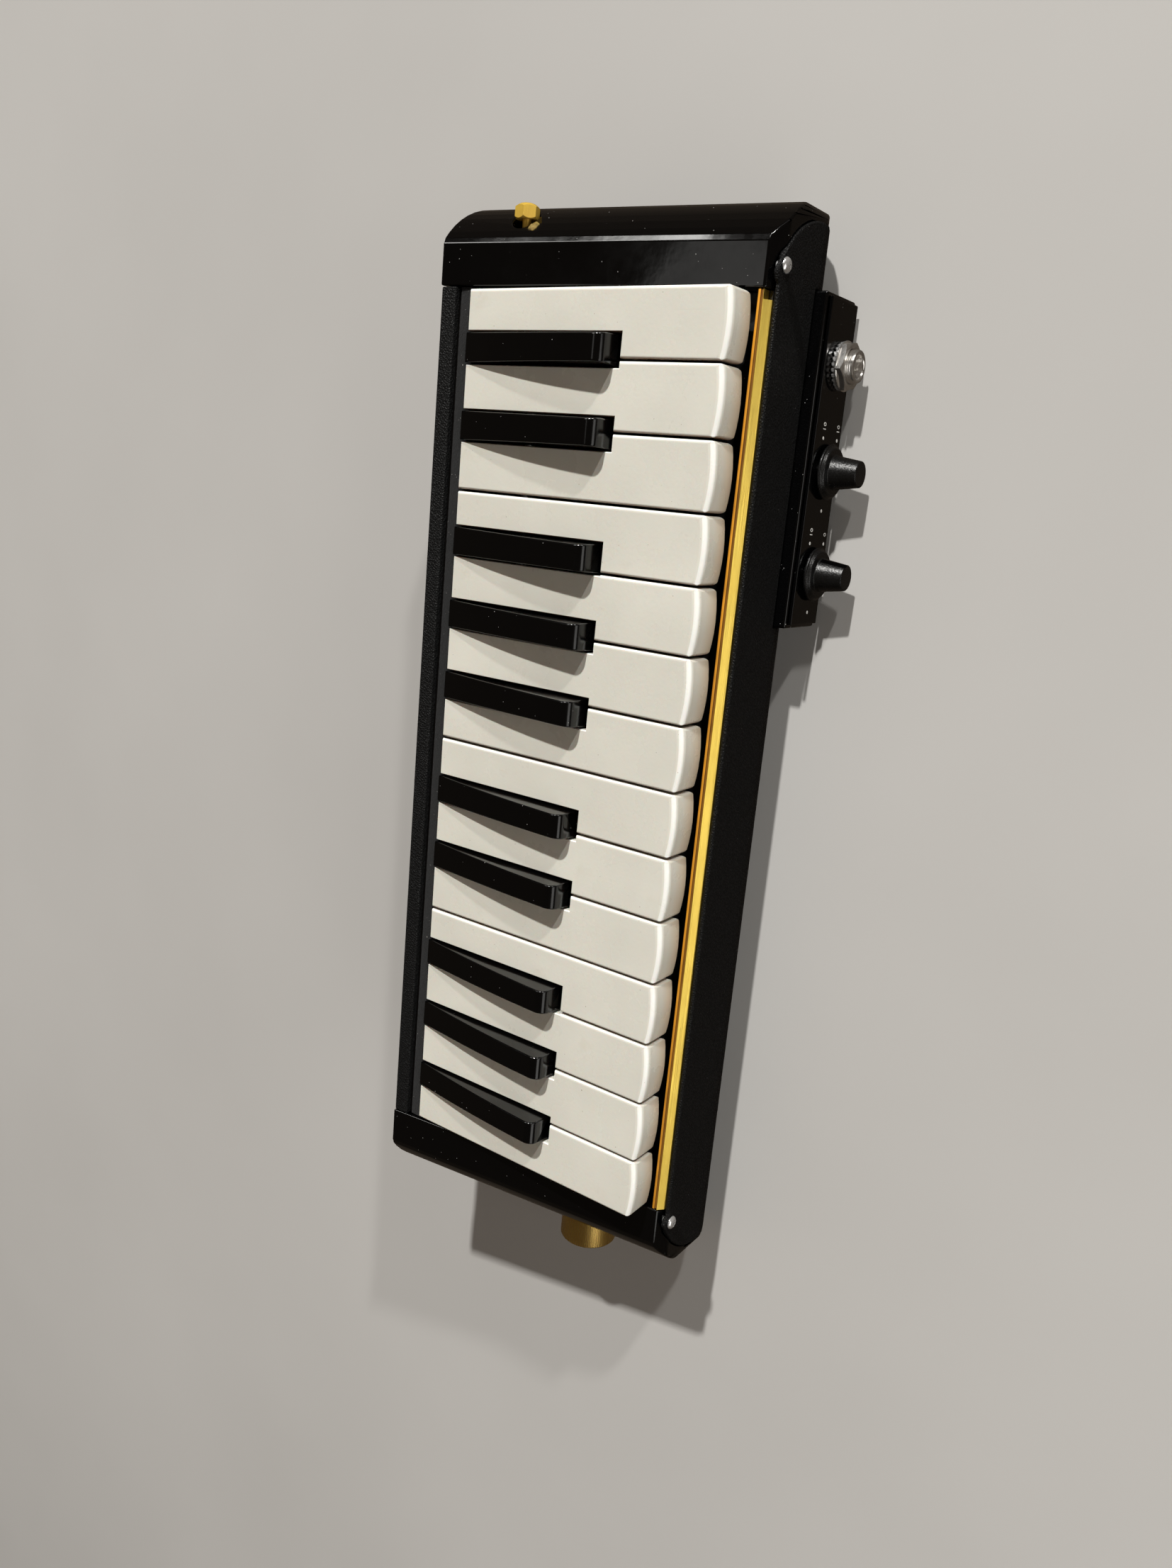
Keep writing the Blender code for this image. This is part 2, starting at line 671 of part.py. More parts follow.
def case_profile(inset):
    """The case in side view, drawn in by inset: front wall, rounded lower edges, floor and rear wall."""
    front = CASE_FRONT + inset
    rear = CASE_REAR - inset
    floor = CASE_BOTTOM + inset
    radius = CASE_CORNER - inset
    lower_front = arc((front + radius, floor + radius), radius, 180, 270)
    lower_rear = arc((rear - radius, floor + radius), radius, 270, 360)
    return lower_front + lower_rear


def side_of(end):
    """Which way the named end lies, and where its cap starts."""
    if end == "high":
        return 1, HIGH_CAP_START
    return -1, LOW_CAP_START


def end_curve(end, inset, top):
    """The cap's rounded end in front view, drawn in by inset, from the bezel's outer edge downwards."""
    sign, start = side_of(end)
    centre_x = start + sign * (BEZEL_WIDTH - END_ARC_RADIUS * math.sin(END_ARC_START))
    centre_z = top - END_ARC_RADIUS * math.cos(END_ARC_START)
    radius = END_ARC_RADIUS - inset
    turn = [END_ARC_START + (END_ARC_STOP - END_ARC_START) * index / 8 for index in range(9)]
    return [(centre_x + sign * radius * math.sin(angle), centre_z + radius * math.cos(angle))
            for angle in turn]


def lap_outline(grow, end):
    """Front view of the lapped wall end, from its free top corner round the curve that follows the cap."""
    sign, start = side_of(end)
    wall_top = FRONT_WALL_TOP + grow
    top = wall_top + LAP_RISE
    corner_x = start + sign * (LAP_START - grow)
    lobe = [(corner_x, wall_top), (corner_x + sign * 0.3 * LAP_CORNER, top - 0.3 * LAP_CORNER),
            (corner_x + sign * LAP_CORNER, top)]
    curve = end_curve(end, LAP_BORDER - grow, BEZEL_FRONT_Z)
    curve = [point for point in curve if point[1] < top - 0.3 * LAP_CORNER]
    inner = start - sign * BEYOND
    bottom = -BEYOND
    return [(inner, bottom), (inner, wall_top)] + lobe + curve + [(curve[-1][0], bottom)]


def case_shell():
    """Front wall, floor and rear wall in one sheet that stops at the caps; the front wall laps over them."""
    rebate = WALL_INNER - REBATE_DEPTH
    rebate_z = TRIM_BOTTOM - GAP
    lap_top = FRONT_WALL_TOP + LAP_RISE
    rim_under = RIM_TOP - RIM_DEPTH
    profile = (
        [(CASE_FRONT, lap_top)]
        + case_profile(0)
        + [(CASE_REAR, RIM_TOP), (RIM_FRONT, RIM_TOP), (RIM_FRONT, rim_under)]
        + [(CASE_REAR - CASE_WALL, rim_under)]
        + case_profile(CASE_WALL)[::-1]
        + [(WALL_INNER, rebate_z), (rebate, rebate_z), (rebate, lap_top)]
    )
    shell = along_x("case_shell", profile, LOW_END - CASE_WALL, HIGH_END + CASE_WALL, LEATHERETTE)
    for end in ("low", "high"):
        sign, start = side_of(end)
        low, high = sorted((start - sign * GAP, start + sign * BEYOND))
        cut(shell, box("behind_lap_" + end, (low, LAP_SPLIT, -BEYOND), (high, BEYOND, BEYOND)))
        outside = box("outside_lap_" + end, (low, -BEYOND, -BEYOND), (high, LAP_SPLIT + GAP, BEYOND))
        cut(outside, along_y("lap_" + end, lap_outline(0, end), -2 * BEYOND, BEYOND))
        cut(shell, outside)
    middle_low = LOW_CAP_START - LAP_START
    middle_high = HIGH_CAP_START + LAP_START
    cut(shell, box("front_wall_top", (middle_low, -BEYOND, FRONT_WALL_TOP), (middle_high, 0, 0)))
    hatch_low, hatch_high = hatch_corners()
    cut(shell, box("hatch", (*hatch_low, -BEYOND), (*hatch_high, FLOOR_INNER + MM)))
    return cut(shell, box_clearance(), *SCREW_HOLES)


def hatch_corners():
    low = (HATCH_MARGIN_X, LAP_SPLIT + COVER_MARGIN_Y + HATCH_MARGIN_Y)
    high = (KEYBOARD_LENGTH - HATCH_MARGIN_X, CASE_REAR - CASE_CORNER - COVER_MARGIN_Y - HATCH_MARGIN_Y)
    return low, high


def box_clearance():
    """The room that the control box takes out of the case's lower front corner."""
    return box("box_room_%d" % len(CUTTERS.objects),
               (BOX_LEFT - GAP, -BEYOND, -BEYOND), (BOX_RIGHT + GAP, BOX_REAR + GAP, BOX_TOP + GAP))


def cap_body(label, end, inset, reach, floor):
    """The cap's outer form, or its hollow when drawn in: end view, side view and plan, crossed."""
    sign, start = side_of(end)
    above = 20 * MM
    below = -BEYOND
    outer = start + sign * (CAP_WIDTH - inset)
    curve = end_curve(end, inset, 0)
    view = [(reach, -inset), (start + sign * (BEZEL_WIDTH - 0.3 * inset), -inset)] + curve[1:]
    view += [(curve[-1][0] + sign * 0.2 * MM, below), (reach, below)]
    mesh = outline_mesh(label, view, -(CAP_REAR + above), above)
    mesh.transform(Matrix(((1, 0, 0, 0), (0, 0, -1, 0), (0, 1, 0, 0), (0, 0, 0, 1))))
    slope_of_bezel = Matrix.Identity(4)
    slope_of_bezel[2][1] = BEZEL_SLOPE
    slope_of_bezel[2][3] = BEZEL_FRONT_Z - BEZEL_FRONT_Y * BEZEL_SLOPE
    mesh.transform(slope_of_bezel)
    piece = place(label, mesh, BLACK_GLOSS)

    front = CAP_FRONT + inset
    rear = CAP_REAR - inset
    radius = CASE_CORNER - inset
    chamfer_run = (BEZEL_FRONT_Y - CAP_FRONT) / CAP_CHAMFER_DROP
    side = arc((front + radius, floor + radius), radius, 180, 270)
    side += arc((rear - radius, floor + radius), radius, 270, 360)
    side += [(rear, BEZEL_FRONT_Z + above),
             (BEZEL_FRONT_Y + inset + chamfer_run * above, BEZEL_FRONT_Z + above),
             (front, BEZEL_FRONT_Z - CAP_CHAMFER_DROP)]
    keep_inside(piece, along_x(label + "_side", side, start - BEYOND, start + BEYOND))

    front_corner = CAP_FRONT_CORNER - inset
    rear_corner = max(CAP_REAR_CORNER - inset, 0.3 * MM)
    corners = arc((rear_corner, rear - rear_corner), rear_corner, 90, 180, 3)
    corners += arc((front_corner, front + front_corner), front_corner, 180, 270)
    plan = [(reach, rear)] + [(outer - sign * x, y) for x, y in corners] + [(reach, front)]
    return keep_inside(piece, along_z(label + "_plan", plan, below, above))


def end_cap(end):
    """The moulded end: a sloping bezel, a rounded end face and a recess for the wall's lap."""
    sign, start = side_of(end)
    name = end + "_end_cap"
    cap = cap_body(name, end, 0, start, CASE_BOTTOM)
    hollow = cap_body(name + "_hollow", end, CAP_WALL, start - sign * MM, CASE_BOTTOM + 2 * CAP_WALL)
    low, high = sorted((start - sign * 2 * MM, start + sign * CAP_WALL))
    cut(hollow, box(name + "_side", (low, -BEYOND, CAP_SIDE_BOTTOM), (high, BEYOND, BEYOND)))
    cut(cap, hollow)
    lap = along_y(name + "_lap", lap_outline(GAP, end), -BEYOND, WALL_INNER + GAP)
    lower = along_x(name + "_lower", lower_lap_profile(), start - BEYOND, start + BEYOND)
    keep_inside(lower, along_y(name + "_lower_lap", lap_outline(GAP, end), -BEYOND, LAP_SPLIT + GAP))
    cut(cap, lap, lower)
    low, high = sorted((start + sign * 2 * MM, start - sign * LEDGE_REACH))
    ledge = box(name + "_ledge", (low, LAP_SPLIT + 2 * MM, FLOOR_INNER + GAP),
                (high, CASE_REAR - CASE_CORNER, CHAMBER_BOTTOM - GAP))
    return join(cap, ledge)


def lower_lap_profile():
    """Side view of what the wall's lap takes from the cap: everything outside the wall's inner face."""
    inner = case_profile(CASE_WALL + GAP)[:7]
    outside = CASE_FRONT - 5 * MM
    below = CASE_BOTTOM - 5 * MM
    above = inner[0][1] + 5 * MM
    return [(outside, above), (inner[0][0], above)] + inner + [
        (LAP_SPLIT + GAP, inner[-1][1]), (LAP_SPLIT + GAP, below), (outside, below)]


def cover_corners():
    low = (LOW_END + COVER_MARGIN_X, LAP_SPLIT + COVER_MARGIN_Y)
    high = (HIGH_END - COVER_MARGIN_X, CASE_REAR - CASE_CORNER - COVER_MARGIN_Y)
    return low, high


def bottom_cover():
    low, high = cover_corners()
    cover = box("bottom_cover", (*low, COVER_BOTTOM), (*high, CASE_BOTTOM - GAP), BLACK_SATIN)
    return cut(cover, *STUD_HOLES)


def front_trim():
    profile = [(TRIM_INNER, TRIM_TOP), (TRIM_CREST, TRIM_TOP), (TRIM_OUTER, TRIM_BAND_BOTTOM),
               (TRIM_OUTER, TRIM_BOTTOM), (TRIM_INNER, TRIM_BOTTOM)]
    high = HIGH_CAP_START - GAP
    trim = along_x("front_trim", profile, LOW_CAP_START + GAP, high, GOLD)
    past_band = box("past_band", (high - TRIM_BAND_INSET, -BEYOND, -BEYOND), (high + BEYOND, TRIM_CREST, BEYOND))
    return cut(trim, past_band)


def rear_pieces():
    low, high = LOW_CAP_START + GAP, HIGH_CAP_START - GAP
    box("felt_strip", (low, FELT_FRONT, FELT_TOP - FELT_THICKNESS), (high, FELT_REAR, FELT_TOP), FELT)
    rail_rear = CASE_REAR - CASE_WALL - GAP
    rim_under = RIM_TOP - RIM_DEPTH - GAP
    profile = [(FELT_FRONT + GAP, RAIL_BOTTOM), (rail_rear, RAIL_BOTTOM), (rail_rear, rim_under),
               (RIM_FRONT, rim_under), (RIM_FRONT, RAIL_TOP), (FELT_FRONT + GAP, RAIL_TOP)]
    along_x("rear_rail", profile, low, high, WOOD)


# Screws, feet and the holes that they pass

def screw_places():
    low = (LOW_CAP_START - LOW_SCREW_INSET, CASE_FRONT, SCREW_Z)
    high = (HIGH_CAP_START + HIGH_SCREW_INSET, CASE_FRONT, SCREW_Z)
    return {"low_front_screw": low, "high_front_screw": high}


def foot_strips():
    """The rubber strips' middles, and the two studs of each."""
    low, high = cover_corners()
    inset = FOOT_WIDTH / 2 + MM
    strips = {}
    for name, x in (("low_foot_strip", low[0] + inset), ("high_foot_strip", high[0] - inset)):
        strips[name] = {"x": x, "ends": (low[1] + MM, high[1] - MM),
                        "studs": (low[1] + STUD_INSET, high[1] - STUD_INSET)}
    return strips


def passing_holes():
    reach = 12 * MM
    screws = [rod(name + "_hole", SCREW_SHANK_RADIUS + GAP, spot, "-Y", -reach, reach, steps=FINE_STEPS)
              for name, spot in screw_places().items()]
    studs = [rod("%s_hole_%d" % (name, index), STUD_RADIUS + GAP, (strip["x"], y, CASE_BOTTOM), "-Z",
                 -reach, reach, steps=FINE_STEPS)
             for name, strip in foot_strips().items() for index, y in enumerate(strip["studs"])]
    return [as_cutter(hole) for hole in screws], [as_cutter(hole) for hole in studs]


SCREW_HOLES, STUD_HOLES = passing_holes()


def front_screws():
    """Raised-head screws through the wall's laps into the end caps."""
    shank = CASE_WALL + CAP_WALL + GAP
    dome = arc((0, 0), 1.0, 90, 0, 3)
    head = [(x * SCREW_HEAD_RADIUS, GAP + y * SCREW_HEAD_HEIGHT) for x, y in dome]
    head[0] = (0, head[0][1])
    profile = head + [(SCREW_SHANK_RADIUS, GAP), (SCREW_SHANK_RADIUS, -shank), (0, -shank)]
    for name, spot in screw_places().items():
        turned(name, profile, spot, "-Y", CHROME, steps=FINE_STEPS)


def feet():
    """A rubber strip under each end, whose studs push through the cover into the cap."""
    top = COVER_BOTTOM - GAP
    for name, strip in foot_strips().items():
        x, (front, rear) = strip["x"], strip["ends"]
        half = FOOT_WIDTH / 2
        outline = (arc((x + half - FOOT_ROUNDING, rear - FOOT_ROUNDING), FOOT_ROUNDING, 0, 90, 2)
                   + arc((x - half + FOOT_ROUNDING, rear - FOOT_ROUNDING), FOOT_ROUNDING, 90, 180, 2)
                   + arc((x - half + FOOT_ROUNDING, front + FOOT_ROUNDING), FOOT_ROUNDING, 180, 270, 2)
                   + arc((x + half - FOOT_ROUNDING, front + FOOT_ROUNDING), FOOT_ROUNDING, 270, 360, 2))
        foot = along_z(name, outline, FLOOR_Z, top, RUBBER)
        for index, y in enumerate(strip["studs"]):
            join(foot, rod("%s_stud_%d" % (name, index), STUD_RADIUS, (x, y, top), "-Z", -STUD_LENGTH, MM,
                           steps=FINE_STEPS))


# Key bed and shaft

def key_bed():
    upstand_top = TRIM_BOTTOM - GAP
    front = WALL_INNER + GAP
    low, high = LOW_CAP_START + GAP, HIGH_CAP_START - GAP
    profile = [(front, upstand_top), (front, BED_BOTTOM), (BED_REAR, BED_BOTTOM), (BED_REAR, BED_TOP),
               (TRIM_INNER, BED_TOP), (TRIM_INNER, upstand_top)]
    bed = along_x("key_bed", profile, low, high, BLACK_SATIN)
    posts = []
    for key in KEYS:
        y = BLACK_GUIDE_Y if key["black"] else WHITE_GUIDE_Y
        for side in (-1, 1):
            near = key["centre"] + side * (LEVER_WIDTH / 2 + GUIDE_CLEARANCE)
            xs = sorted((near, near + side * GUIDE_THICKNESS))
            posts.append(((xs[0], y, BED_TOP - 0.5 * MM), (xs[1], y + GUIDE_DEPTH, GUIDE_TOP)))
    for x in bracket_places():
        posts.append(((x - BRACKET_THICKNESS / 2, PIVOT_Y - BRACKET_DEPTH / 2, BED_TOP - 0.5 * MM),
                      (x + BRACKET_THICKNESS / 2, PIVOT_Y + BRACKET_DEPTH / 2, BRACKET_TOP)))
    join(bed, boxes("guides", posts))
    return cut(bed, SHAFT_HOLE)


def bracket_places():
    """Between levers, one bracket after every few keys."""
    return [(KEYS[index]["centre"] + KEYS[index + 1]["centre"]) / 2
            for index in range(1, len(KEYS) - 1, BRACKET_EVERY)]


def key_shaft():
    margin = 1.0 * MM
    rod("key_shaft", SHAFT_RADIUS, (0, PIVOT_Y, PIVOT_Z), "+X", margin, KEYBOARD_LENGTH - margin, STEEL,
        steps=FINE_STEPS)


def key_springs():
    """A strip of spring steel under the rear rail, with a finger that presses each lever's tail down."""
    rear = CASE_REAR - CASE_WALL - GAP
    top = RAIL_BOTTOM - GAP
    root = box("key_springs", (MM, SPRING_ROOT_FRONT, top - SPRING_THICKNESS),
               (KEYBOARD_LENGTH - MM, rear, top), STEEL)
    tip = TAIL_TOP + GAP
    for index, key in enumerate(KEYS):
        bend = SPRING_ROOT_FRONT + MM
        profile = [(bend, top - SPRING_THICKNESS), (bend, top), (FINGER_FRONT, tip + SPRING_THICKNESS),
                   (FINGER_FRONT - MM, tip + SPRING_THICKNESS), (FINGER_FRONT - MM, tip), (FINGER_FRONT, tip)]
        finger = along_x("finger_%02d" % (index + 1), profile, key["centre"] - FINGER_WIDTH / 2,
                         key["centre"] + FINGER_WIDTH / 2)
        join(root, finger)


# Reeds and wind chamber

def reed_block():
    profile = [(BLOCK_FRONT, BLOCK_TOP), (BLOCK_FRONT, BLOCK_BOTTOM), (BLOCK_REAR, BLOCK_BOTTOM),
               (BLOCK_REAR, VALVE_SEAT), (BLOCK_STEP_Y, VALVE_SEAT), (BLOCK_STEP_Y, BLOCK_TOP)]
    block = along_x("reed_block", profile, 0, KEYBOARD_LENGTH, CHAMBER_PLASTIC)
    cells = [((key["centre"] - CELL_WIDTH / 2, CELL_FRONT, BLOCK_BOTTOM - MM),
              (key["centre"] + CELL_WIDTH / 2, CELL_REAR, BLOCK_BOTTOM + CELL_DEPTH)) for key in KEYS]
    valves = [((key["centre"] - VALVE_WIDTH / 2, VALVE_FRONT, BLOCK_BOTTOM - MM),
               (key["centre"] + VALVE_WIDTH / 2, VALVE_REAR, VALVE_SEAT + MM)) for key in KEYS]
    return cut(block, boxes("reed_cells", cells), boxes("valve_holes", valves))


def reeds():
    """The slotted brass plate under the cells, and the comb of steel tongues, longer for lower notes."""
    plate_top = BLOCK_BOTTOM - GAP
    plate_bottom = plate_top - PLATE_THICKNESS
    tongue_top = plate_bottom - GAP
    tongue_bottom = tongue_top - TONGUE_THICKNESS
    half = TONGUE_WIDTH / 2
    foot = CELL_FRONT + TONGUE_FOOT
    slots, tongues = [], []
    for index, key in enumerate(KEYS):
        share = index / (len(KEYS) - 1)
        length = TONGUE_LONGEST + (TONGUE_SHORTEST - TONGUE_LONGEST) * share
        centre = key["centre"]
        slots.append(((centre - half - SLOT_CLEARANCE, foot, plate_bottom - MM),
                      (centre + half + SLOT_CLEARANCE, foot + length, plate_top + MM)))
        tongues.append(((centre - half, CELL_FRONT + MM, tongue_bottom),
                        (centre + half, foot + length - SLOT_CLEARANCE, tongue_top)))
    side = CHAMBER_WALL + GAP
    plate = box("reed_plate", (side, CELL_FRONT - PLATE_MARGIN, plate_bottom),
                (KEYBOARD_LENGTH - side, CELL_REAR + PLATE_MARGIN, plate_top), BRASS)
    cut(plate, boxes("reed_slots", slots))
    bar = box("reed_tongues", (KEYS[0]["centre"] - half, CELL_FRONT, tongue_bottom),
              (KEYS[-1]["centre"] + half, CELL_FRONT + FOOT_BAR_DEPTH, tongue_top), STEEL)
    join(bar, boxes("tongues", tongues))


def tray_profile(inset):
    """The wind chamber in side view, its lower rear corner rounded to follow the case."""
    radius = CASE_CORNER - CASE_WALL - CHAMBER_CASE_GAP - inset
    centre = (CASE_REAR - CASE_CORNER, CASE_BOTTOM + CASE_CORNER)
    bottom = CHAMBER_BOTTOM + inset
    start = math.degrees(math.asin((bottom - centre[1]) / radius))
    front = [(BLOCK_FRONT + inset, CHAMBER_TOP), (BLOCK_FRONT + inset, bottom)]
    return front + arc(centre, radius, start, 0) + [(centre[0] + radius, CHAMBER_TOP)]


def chamber():
    inner_low = (CHAMBER_WALL, BLOCK_FRONT + CHAMBER_WALL)
    inner_high = (KEYBOARD_LENGTH - CHAMBER_WALL, BLOCK_REAR - CHAMBER_WALL)
    tray = along_x("wind_chamber", tray_profile(0), 0, KEYBOARD_LENGTH, CHAMBER_PLASTIC)
    hollow = [(y, z + MM if z == CHAMBER_TOP else z) for y, z in tray_profile(CHAMBER_WALL)]
    cut(tray, along_x("chamber_hollow", hollow, CHAMBER_WALL, KEYBOARD_LENGTH - CHAMBER_WALL))
    spigot_hole = rod("spigot_hole", SPIGOT_RADIUS + GAP, (0, SOCKET_Y, SOCKET_Z), "+X", -5 * MM, 8 * MM)
    drain_hole = rod("drain_hole", DRAIN_STEM_RADIUS + GAP, (KEYBOARD_LENGTH, DRAIN_Y, DRAIN_Z), "+X",
                     -8 * MM, 8 * MM, steps=FINE_STEPS)
    cut(tray, spigot_hole, drain_hole)
    gasket = box("chamber_gasket", (0, BLOCK_FRONT, GASKET_TOP - GASKET_THICKNESS),
                 (KEYBOARD_LENGTH, BLOCK_REAR, GASKET_TOP), RUBBER)
    cut(gasket, box("gasket_hollow", (*inner_low, CHAMBER_TOP - 5 * MM), (*inner_high, 0)))


def mouthpiece_socket():
    """A gold sleeve that the mouthpiece or its hose pushes into, with a spigot into the wind chamber."""
    inside_cap = LOW_END + CAP_WALL + 3 * MM
    length = inside_cap - SOCKET_TIP
    spigot = SPIGOT_END - SOCKET_TIP
    chamfer = 0.6 * MM
    profile = [
        (SOCKET_MOUTH_RADIUS, 0), (SOCKET_RADIUS - chamfer, 0), (SOCKET_RADIUS, -chamfer),
        (SOCKET_RADIUS, -length), (SPIGOT_RADIUS, -length), (SPIGOT_RADIUS, -spigot),
        (SOCKET_BORE_RADIUS, -spigot), (SOCKET_BORE_RADIUS, -SOCKET_MOUTH_DEPTH - MM),
        (SOCKET_MOUTH_RADIUS - 0.5 * MM, -SOCKET_MOUTH_DEPTH),
    ]
    turned("mouthpiece_socket", profile, (SOCKET_TIP, SOCKET_Y, SOCKET_Z), "-X", GOLD, closed=True, steps=32)
    ring("socket_seal", SPIGOT_RADIUS + GAP, SPIGOT_RADIUS + 3 * MM, (0, SOCKET_Y, SOCKET_Z), "-X",
         GAP, GAP + 1.5 * MM, RUBBER)
    return rod("socket_room", SOCKET_RADIUS + GAP, (SOCKET_TIP, SOCKET_Y, SOCKET_Z), "-X",
               -length - 2 * MM, 5 * MM)


def drain_valve():
    """A sprung push button on the high end: an arm behind it lifts a disc off the wind chamber's end wall."""
    tip = (DRAIN_TIP, DRAIN_Y, DRAIN_HEAD_Z)
    hexagon = [(DRAIN_Y + DRAIN_RADIUS * math.cos(math.radians(60 * index + DRAIN_HEAD_TURN)),
                DRAIN_HEAD_Z + DRAIN_RADIUS * math.sin(math.radians(60 * index + DRAIN_HEAD_TURN)))
               for index in range(6)]
    button = along_x("drain_button", hexagon, DRAIN_TIP - DRAIN_HEAD_LENGTH, DRAIN_TIP, GOLD, tip)
    wider = DRAIN_RADIUS + MM
    narrower = DRAIN_RADIUS - DRAIN_HEAD_CHAMFER
    rounding = [(0, 0), (narrower, 0), (wider, -DRAIN_HEAD_CHAMFER - MM),
                (wider, -DRAIN_HEAD_LENGTH + DRAIN_HEAD_CHAMFER + MM), (narrower, -DRAIN_HEAD_LENGTH),
                (0, -DRAIN_HEAD_LENGTH)]
    keep_inside(button, turned("drain_head_rounding", rounding, tip, "+X"))

    arm_low = KEYBOARD_LENGTH + GAP + DRAIN_ARM_PLACE
    arm_high = arm_low + DRAIN_ARM_THICKNESS
    half = DRAIN_ARM_WIDTH / 2
    arm = box("drain_arm", (arm_low, DRAIN_Y - half, DRAIN_Z - half),
              (arm_high, DRAIN_Y + half, DRAIN_HEAD_Z + half))
    inside_arm = (arm_low + arm_high) / 2
    upper_stem = rod("drain_upper_stem", DRAIN_STEM_RADIUS, (0, DRAIN_Y, DRAIN_HEAD_Z), "+X",
                     inside_arm, DRAIN_TIP - 2 * DRAIN_HEAD_CHAMFER)
    disc_face = KEYBOARD_LENGTH - CHAMBER_WALL - GAP
    disc_back = disc_face - DRAIN_DISC_THICKNESS
    stem = [(0, inside_arm), (DRAIN_STEM_RADIUS, inside_arm), (DRAIN_STEM_RADIUS, disc_face),
            (DRAIN_DISC_RADIUS, disc_face), (DRAIN_DISC_RADIUS, disc_back), (0, disc_back)]
    lower_stem = turned("drain_lower_stem", stem, (0, DRAIN_Y, DRAIN_Z), "+X")
    join(button, arm, upper_stem, lower_stem)

    low = KEYBOARD_LENGTH + GAP + DRAIN_SPRING_WIRE
    high = arm_low - GAP - DRAIN_SPRING_WIRE
    per_turn = 10
    count = DRAIN_SPRING_TURNS * per_turn
    helix = []
    for index in range(count + 1):
        angle = 2 * math.pi * index / per_turn
        helix.append((low + (high - low) * index / count, DRAIN_Y + DRAIN_SPRING_RADIUS * math.cos(angle),
                      DRAIN_Z + DRAIN_SPRING_RADIUS * math.sin(angle)))
    tube("drain_spring", [helix], DRAIN_SPRING_WIRE, STEEL)
    return rod("drain_room", DRAIN_RADIUS + GAP, tip, "+X", -12 * MM, 5 * MM)


# Control box

def control_box():
    housing = box("control_box", (BOX_LEFT, BOX_FACE + PANEL_THICKNESS + GAP, BOX_BOTTOM),
                  (BOX_RIGHT, BOX_REAR, BOX_TOP), BLACK_GLOSS)
    inner = box("box_hollow", (BOX_LEFT + BOX_WALL, BOX_FACE - MM, BOX_BOTTOM + BOX_WALL),
                (BOX_RIGHT - BOX_WALL, BOX_REAR - BOX_WALL, BOX_TOP - BOX_WALL))
    wire_hole = rod("wire_hole", WIRE_RADIUS + 0.6 * MM, (wire_entry(), 3 * MM, BOX_TOP), "-Z",
                    -3 * MM, 3 * MM, steps=FINE_STEPS)
    cut(housing, inner, wire_hole)
    panel = box("control_panel", (BOX_LEFT + PANEL_INSET, BOX_FACE, BOX_BOTTOM + PANEL_INSET),
                (BOX_RIGHT - PANEL_INSET, BOX_FACE + PANEL_THICKNESS, BOX_TOP - PANEL_INSET), BLACK_GLOSS)
    holes = [rod("panel_hole_%d" % index, radius + GAP, (x, BOX_FACE, CONTROL_Z), "-Y", -5 * MM, 5 * MM)
             for index, (x, radius) in enumerate(((FIRST_CONTROL_X, POT_BUSHING_RADIUS),
                                                  (FIRST_CONTROL_X + CONTROL_PITCH, POT_BUSHING_RADIUS),
                                                  (JACK_X, JACK_BARREL_RADIUS)))]
    cut(panel, *holes)


def wire_entry():
    return FIRST_CONTROL_X + CONTROL_PITCH / 2


PANEL_BACK = BOX_FACE + PANEL_THICKNESS
BOARD_FRONT = PANEL_BACK + GAP + POT_BODY_DEPTH + GAP
BOARD_TOP = CONTROL_Z + BOARD_HEIGHT / 2


def knob_set(name, x, pointer):
    """A potentiometer behind the panel, and the knob whose shaft turns in it."""
    centre = (x, BOX_FACE, CONTROL_Z)
    body_front = -PANEL_THICKNESS - GAP
    body_back = body_front - POT_BODY_DEPTH
    bushing_top = 1.2 * MM
    bore = POT_SHAFT_RADIUS + GAP
    pot = [(bore, bushing_top), (POT_BUSHING_RADIUS, bushing_top), (POT_BUSHING_RADIUS, body_front),
           (POT_BODY_RADIUS, body_front), (POT_BODY_RADIUS, body_back), (bore, body_back)]
    turned(name + "_pot", pot, centre, "-Y", STEEL, closed=True)
    shaft_foot = body_back + GAP
    foot = KNOB_PANEL_GAP
    step = foot + KNOB_SKIRT_HEIGHT
    tip = foot + KNOB_HEIGHT
    fillet = arc((KNOB_TIP_RADIUS - KNOB_FILLET, tip - KNOB_FILLET), KNOB_FILLET, 90, 0, 3)
    recess = POT_BUSHING_RADIUS + GAP
    shape = (
        [(0, tip)] + fillet
        + [(KNOB_BARREL_RADIUS, step), (KNOB_RIM_RADIUS, step), (KNOB_SKIRT_RADIUS, foot + 0.4 * MM),
           (KNOB_SKIRT_RADIUS, foot), (recess, foot), (recess, bushing_top + GAP),
           (POT_SHAFT_RADIUS, bushing_top + GAP), (POT_SHAFT_RADIUS, shaft_foot), (0, shaft_foot)]
    )
    knob = turned(name + "_knob", shape, centre, "-Y", BLACK_SATIN)
    half = KNOB_GROOVE / 2
    groove = box(name + "_groove",
                 (x + KNOB_TIP_RADIUS - KNOB_GROOVE_DEPTH, BOX_FACE - tip - MM, CONTROL_Z - half),
                 (x + KNOB_BARREL_RADIUS + MM, BOX_FACE - step - 0.5 * MM, CONTROL_Z + half), origin=centre)
    groove.rotation_euler = (0, -pointer, 0)
    cut(knob, groove)


